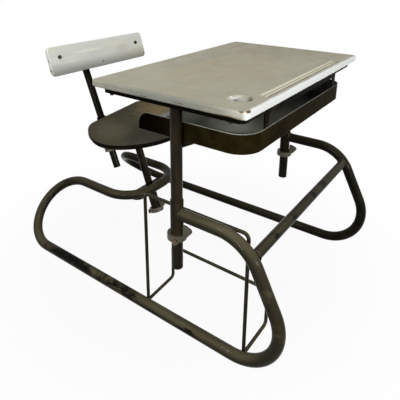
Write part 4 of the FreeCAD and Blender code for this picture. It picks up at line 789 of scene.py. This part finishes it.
class DESK_OT_paint_boards(bpy.types.Operator):
    """Painted wood of the desktop, the backrest and the seat."""

    bl_idname = "desk.paint_boards"
    bl_label = "Paint Boards"

    def execute(self, context):
        looks = context.scene.desk_looks
        give(["desktop_board"], self.desktop(looks))
        give(["backrest_board"], self.backrest(looks))
        give(["seat_board"], self.seat(looks))
        smooth(["seat_board"], degrees=40.0)
        flat(["desktop_board", "backrest_board"])
        return {"FINISHED"}

    def desktop(self, looks):
        """Grey paint, chipped at the front corners, with painted shade in the inkwell and on the near side.
        """
        front, near, top = TOP_FRONT, TOP_HALF, TOP_HEIGHT
        white = (0.93, 0.93, 0.87)
        pale = (0.77, 0.79, 0.76)
        grey = (0.185, 0.195, 0.175)
        painted_shade = (0.05, 0.048, 0.040)
        hole_shadow = (0.02, 0.02, 0.016)
        tan = (0.47, 0.36, 0.24)
        brown = (0.29, 0.255, 0.165)
        chips = [
            ((near - 0.001, front - 0.012, top - 0.0005), (0.004, 0.008, 0.0026)),
            ((near - 0.012, front - 0.003, top - 0.001), (0.008, 0.004, 0.0030)),
            ((near - 0.003, front - 0.002, top - 0.0185), (0.012, 0.008, 0.0012)),
            ((near - 0.001, front - 0.045, top - 0.016), (0.006, 0.024, 0.0022)),
            ((near - 0.001, front - 0.16, top - 0.011), (0.006, 0.016, 0.0009)),
            ((near - 0.001, POST_Y - 0.06, top - 0.013), (0.006, 0.014, 0.0008)),
            ((-near, front, top - 0.005), (0.010, 0.008, 0.004)),
        ]
        edge_smears = [
            ((0.0, front, top - 0.015), (1.60, 0.011, 0.16), pale, 1.0),
            ((near, front - 0.02, top - 0.006), (0.012, 0.036, 0.009), white, 0.25),
            # Painted shade on the near side face, darkest along its lower edge.
            ((near, POST_Y - 0.02, top - 0.010), (0.010, 0.30, 0.03), grey, 0.8),
            ((near, POST_Y - 0.02, top - 0.0175), (0.012, 0.30, 0.0035), painted_shade, 0.7),
        ]
        # White paint on the hole's wall and round its rim; painted shadow on its far side and at its foot.
        well_smears = [
            ((WELL_X - 0.010, WELL_Y - 0.018, top - 0.0115), (0.045, 0.036, 0.0130), white, 1.0),
            ((WELL_X - 0.019, WELL_Y + 0.018, top - 0.0130), (0.028, 0.024, 0.0150), hole_shadow, 0.95),
            ((WELL_X - 0.012, WELL_Y - 0.010, top - 0.0190), (0.060, 0.060, 0.0060), hole_shadow, 0.9),
            ((WELL_X + 0.0145, WELL_Y - 0.020, top - 0.001), (0.009, 0.007, 0.005), white, 0.9),
            ((WELL_X + 0.0020, WELL_Y - 0.0245, top - 0.001), (0.008, 0.005, 0.005), white, 0.8),
            ((WELL_X + 0.0240, WELL_Y - 0.006, top - 0.001), (0.005, 0.008, 0.005), white, 0.9),
        ]
        # A small stain near the far front corner, and painted shade over the far end of the top.
        stain_and_far_shade = [
            ((-0.30, POST_Y + 0.15, top), (0.035, 0.05, 0.01), tan, 0.35),
            ((-0.26, POST_Y - 0.06, top), (0.26, 0.36, 0.03), brown, 0.42),
        ]
        return painted_wood("desktop_paint", looks, looks.top_colour, along=(0.16, 1.0, 1.0), chips=chips,
                            smears=edge_smears + well_smears + stain_and_far_shade, edge_share=0.2, has_groove=True)

    def backrest(self, looks):
        """Cool white paint, chipped at the near end and at the lower edge."""
        yellowed = (0.80, 0.79, 0.66)
        cream = (0.80, 0.79, 0.70)
        grey = (0.46, 0.46, 0.42)
        chips = [
            ((0.2115, REST_Y - 0.002, 0.612), (0.0018, 0.010, 0.016)),
            ((0.2105, REST_Y - 0.002, 0.582), (0.0018, 0.010, 0.006)),
            ((0.0, REST_Y + 0.0083, 0.5806), (0.0028, 0.01, 0.0028)),
        ]
        smears = [
            ((0.05, REST_Y, 0.625), (0.10, 0.03, 0.007), yellowed, 0.6),
            ((0.12, REST_Y, 0.60), (0.05, 0.03, 0.004), cream, 0.5),
            ((-0.10, REST_Y, 0.61), (0.05, 0.03, 0.02), grey, 0.5),
        ]
        return painted_wood("backrest_paint", looks, looks.rest_colour, along=(0.2, 1.0, 1.0), chips=chips,
                            smears=smears, edge_share=0.4)

    def seat(self, looks):
        """Brown finish, lighter in places and black on the sides."""
        tan = (0.225, 0.165, 0.082)
        black = (0.026, 0.024, 0.016)
        olive = (0.115, 0.106, 0.070)
        smears = [
            ((-0.15, POST_Y - 0.40, 0.40), (0.15, 0.16, 0.06), tan, 0.85),
            ((0.06, POST_Y - 0.32, 0.388), (0.14, 0.11, 0.03), black, 0.8),
            ((0.12, POST_Y - 0.42, 0.395), (0.10, 0.12, 0.04), olive, 0.6),
        ]
        return painted_wood("seat_finish", looks, looks.seat_colour, along=(1.0, 0.2, 1.0), smears=smears,
                            edge_share=0.1, under=(0.028, 0.020, 0.012), sides=(0.004, 0.0035, 0.0025),
                            shine=0.02)


class DESK_OT_weld_beads(bpy.types.Operator):
    """Weld beads where the tubes of the frame meet."""

    bl_idname = "desk.weld_beads"
    bl_label = "Weld Beads"

    def execute(self, context):
        bead = context.scene.desk_looks.weld_size
        thin = THIN_BEAD * bead
        joins = ((SLEEVE_JOIN, bead), (CROSSBAR_JOIN, bead), (RUNNER_JOIN, thin), (REAR_LEG_JOIN, thin))
        made = []
        for side in (1, -1):
            for (place, direction, radius), thickness in joins:
                x, y, z = place
                made.append(ring((side * x, y, z), direction, radius, thickness))
        beads = join_as("weld_beads", made)
        give(["weld_beads"], bpy.data.materials["frame_paint"])
        smooth(["weld_beads"], degrees=60.0)
        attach(beads, "frame")
        return {"FINISHED"}


class DESK_OT_post_caps(bpy.types.Operator):
    """Rounded plugs in the lower ends of the desk posts."""

    bl_idname = "desk.post_caps"
    bl_label = "Post Caps"

    def execute(self, context):
        for side, name in ((1, "near_post_cap"), (-1, "far_post_cap")):
            deselect()
            bpy.ops.mesh.primitive_uv_sphere_add(
                segments=32, ring_count=16, radius=CAP_RADIUS,
                location=(side * TRACK_HALF, POST_Y, CAP_HEIGHT))
            cap = named(name)
            cap.scale = (1.0, 1.0, CAP_FLATNESS)
            applied(cap)
            give([name], bpy.data.materials["post_paint"])
            smooth([name], degrees=60.0)
            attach(cap, "desk_unit")
        return {"FINISHED"}


class DESK_OT_stage(bpy.types.Operator):
    """Floor, lights, background and camera."""

    bl_idname = "desk.stage"
    bl_label = "Stage"

    def execute(self, context):
        stage = context.scene.desk_stage
        self.floor(stage)
        self.lights(stage)
        self.background(stage)
        self.camera(stage)
        return {"FINISHED"}

    def floor(self, stage):
        """A floor that looks white away from the desk and keeps its shadow."""
        deselect()
        bpy.ops.mesh.primitive_plane_add(size=stage.floor_size, location=(0, 0, 0))
        floor = named("floor")
        mat = Shader("floor_white")
        tone = mat.mix(mat.noise(1.4, 3.0), shade(FLOOR_TONE, 0.96), shade(FLOOR_TONE, 1.04))
        mat.set_surface(tone, roughness=0.75, specular=0.1)
        distance = mat.vector_math("LENGTH", mat.coords)
        white = mat.span(distance, *FLOOR_FADE, stage.floor_white, 1.0)
        glow = mat.tree.nodes.new("ShaderNodeEmission")
        glow.inputs["Color"].default_value = WHITE
        both = mat.tree.nodes.new("ShaderNodeMixShader")
        mat.feed(both.inputs[0], mat.times(seen_directly(mat.tree), white))
        mat.tree.links.new(mat.surface.outputs[0], both.inputs[1])
        mat.tree.links.new(glow.outputs[0], both.inputs[2])
        mat.tree.links.new(both.outputs[0], mat.output.inputs[0])
        floor.data.materials.append(mat.material)

    def area(self, name, place, aim, size, power):
        """A rectangular light."""
        deselect()
        bpy.ops.object.light_add(type="AREA", location=place)
        light = bpy.context.active_object
        light.name = name
        light.data.shape = "RECTANGLE"
        light.data.size, light.data.size_y = size
        light.data.energy = power
        light.rotation_euler = looking(Vector(aim) - Vector(place))

    def beam(self, name, place, aim, degrees, source, power):
        """A narrow beam from a small source."""
        deselect()
        bpy.ops.object.light_add(type="SPOT", location=place)
        spot = bpy.context.active_object
        spot.name = name
        spot.data.energy = power
        spot.data.spot_size = math.radians(degrees)
        spot.data.spot_blend = 1.0
        spot.data.shadow_soft_size = source
        spot.rotation_euler = looking(Vector(aim) - Vector(place))

    def lights(self, stage):
        self.area("key_light", place=(1.9, -0.5, 2.0), aim=(0, 0, 0.4), size=(0.2, 0.2),
                  power=stage.key_power)
        self.area("front_light", place=(0.5, 2.6, 1.0), aim=(0, 0, 0.6), size=(1.2, 0.25),
                  power=stage.front_power)
        self.area("top_light", place=(0.2, 0.1, 2.5), aim=(0, 0, 0.3), size=(1.6, 1.6),
                  power=stage.top_power)
        self.area("strip_light", place=(2.0, 0.55, 0.9), aim=(0, 0, 0.4), size=(0.05, 0.9),
                  power=stage.side_power)
        self.beam("tray_light", place=(1.25, 0.95, 0.98), aim=(0.24, 0.30, 0.555), degrees=6.0,
                  source=0.02, power=stage.tray_power)

    def background(self, stage):
        """White where it is seen, and a weak even light elsewhere."""
        world = bpy.data.worlds.new("studio")
        bpy.context.scene.world = world
        world.use_nodes = True
        tree = world.node_tree
        tree.nodes.clear()
        white = tree.nodes.new("ShaderNodeBackground")
        white.inputs["Color"].default_value = WHITE
        even = tree.nodes.new("ShaderNodeBackground")
        even.inputs["Color"].default_value = FILL_TONE
        even.inputs["Strength"].default_value = stage.fill
        mixed = tree.nodes.new("ShaderNodeMixShader")
        output = tree.nodes.new("ShaderNodeOutputWorld")
        tree.links.new(seen_directly(tree), mixed.inputs[0])
        tree.links.new(even.outputs[0], mixed.inputs[1])
        tree.links.new(white.outputs[0], mixed.inputs[2])
        tree.links.new(mixed.outputs[0], output.inputs[0])

    def camera(self, stage):
        deselect()
        azimuth, elevation = stage.camera_azimuth, stage.camera_elevation
        back = Vector((math.sin(azimuth) * math.cos(elevation), -math.cos(azimuth) * math.cos(elevation),
                       math.sin(elevation)))
        bpy.ops.object.camera_add(location=stage.camera_place)
        camera = bpy.context.active_object
        camera.name = "camera"
        camera.rotation_euler = looking(-back)
        camera.data.lens = stage.lens
        camera.data.sensor_width = SENSOR_WIDTH
        camera.data.shift_x = stage.shift_x
        camera.data.shift_y = stage.shift_y
        camera.data.clip_start = 0.02
        camera.data.clip_end = 60.0
        bpy.context.scene.camera = camera
        bpy.context.scene.view_settings.view_transform = "Standard"


class DESK_PT_panel(bpy.types.Panel):
    """School desk settings and steps."""

    bl_idname = "DESK_PT_panel"
    bl_label = "School Desk"
    bl_space_type = "VIEW_3D"
    bl_region_type = "UI"
    bl_category = "School Desk"

    def draw(self, context):
        for group in (context.scene.desk_looks, context.scene.desk_stage):
            box = self.layout.box()
            for name in group.__annotations__:
                box.prop(group, name)
        for step in STEPS:
            self.layout.operator(step.bl_idname)


STEPS = (
    DESK_OT_paint_frame, DESK_OT_paint_posts, DESK_OT_paint_fittings, DESK_OT_paint_tray,
    DESK_OT_paint_boards, DESK_OT_weld_beads, DESK_OT_post_caps, DESK_OT_stage,
)
CLASSES = (DeskLooks, DeskStage, *STEPS, DESK_PT_panel)


def register():
    for item in CLASSES:
        bpy.utils.register_class(item)
    bpy.types.Scene.desk_looks = bpy.props.PointerProperty(type=DeskLooks)
    bpy.types.Scene.desk_stage = bpy.props.PointerProperty(type=DeskStage)


def unregister():
    del bpy.types.Scene.desk_stage
    del bpy.types.Scene.desk_looks
    for item in reversed(CLASSES):
        bpy.utils.unregister_class(item)


def main():
    register()
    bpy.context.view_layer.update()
    for step in STEPS:
        group, name = step.bl_idname.split(".")
        if getattr(getattr(bpy.ops, group), name)() != {"FINISHED"}:
            raise RuntimeError(step.bl_label + " did not finish")


if __name__ == "__main__":
    main()
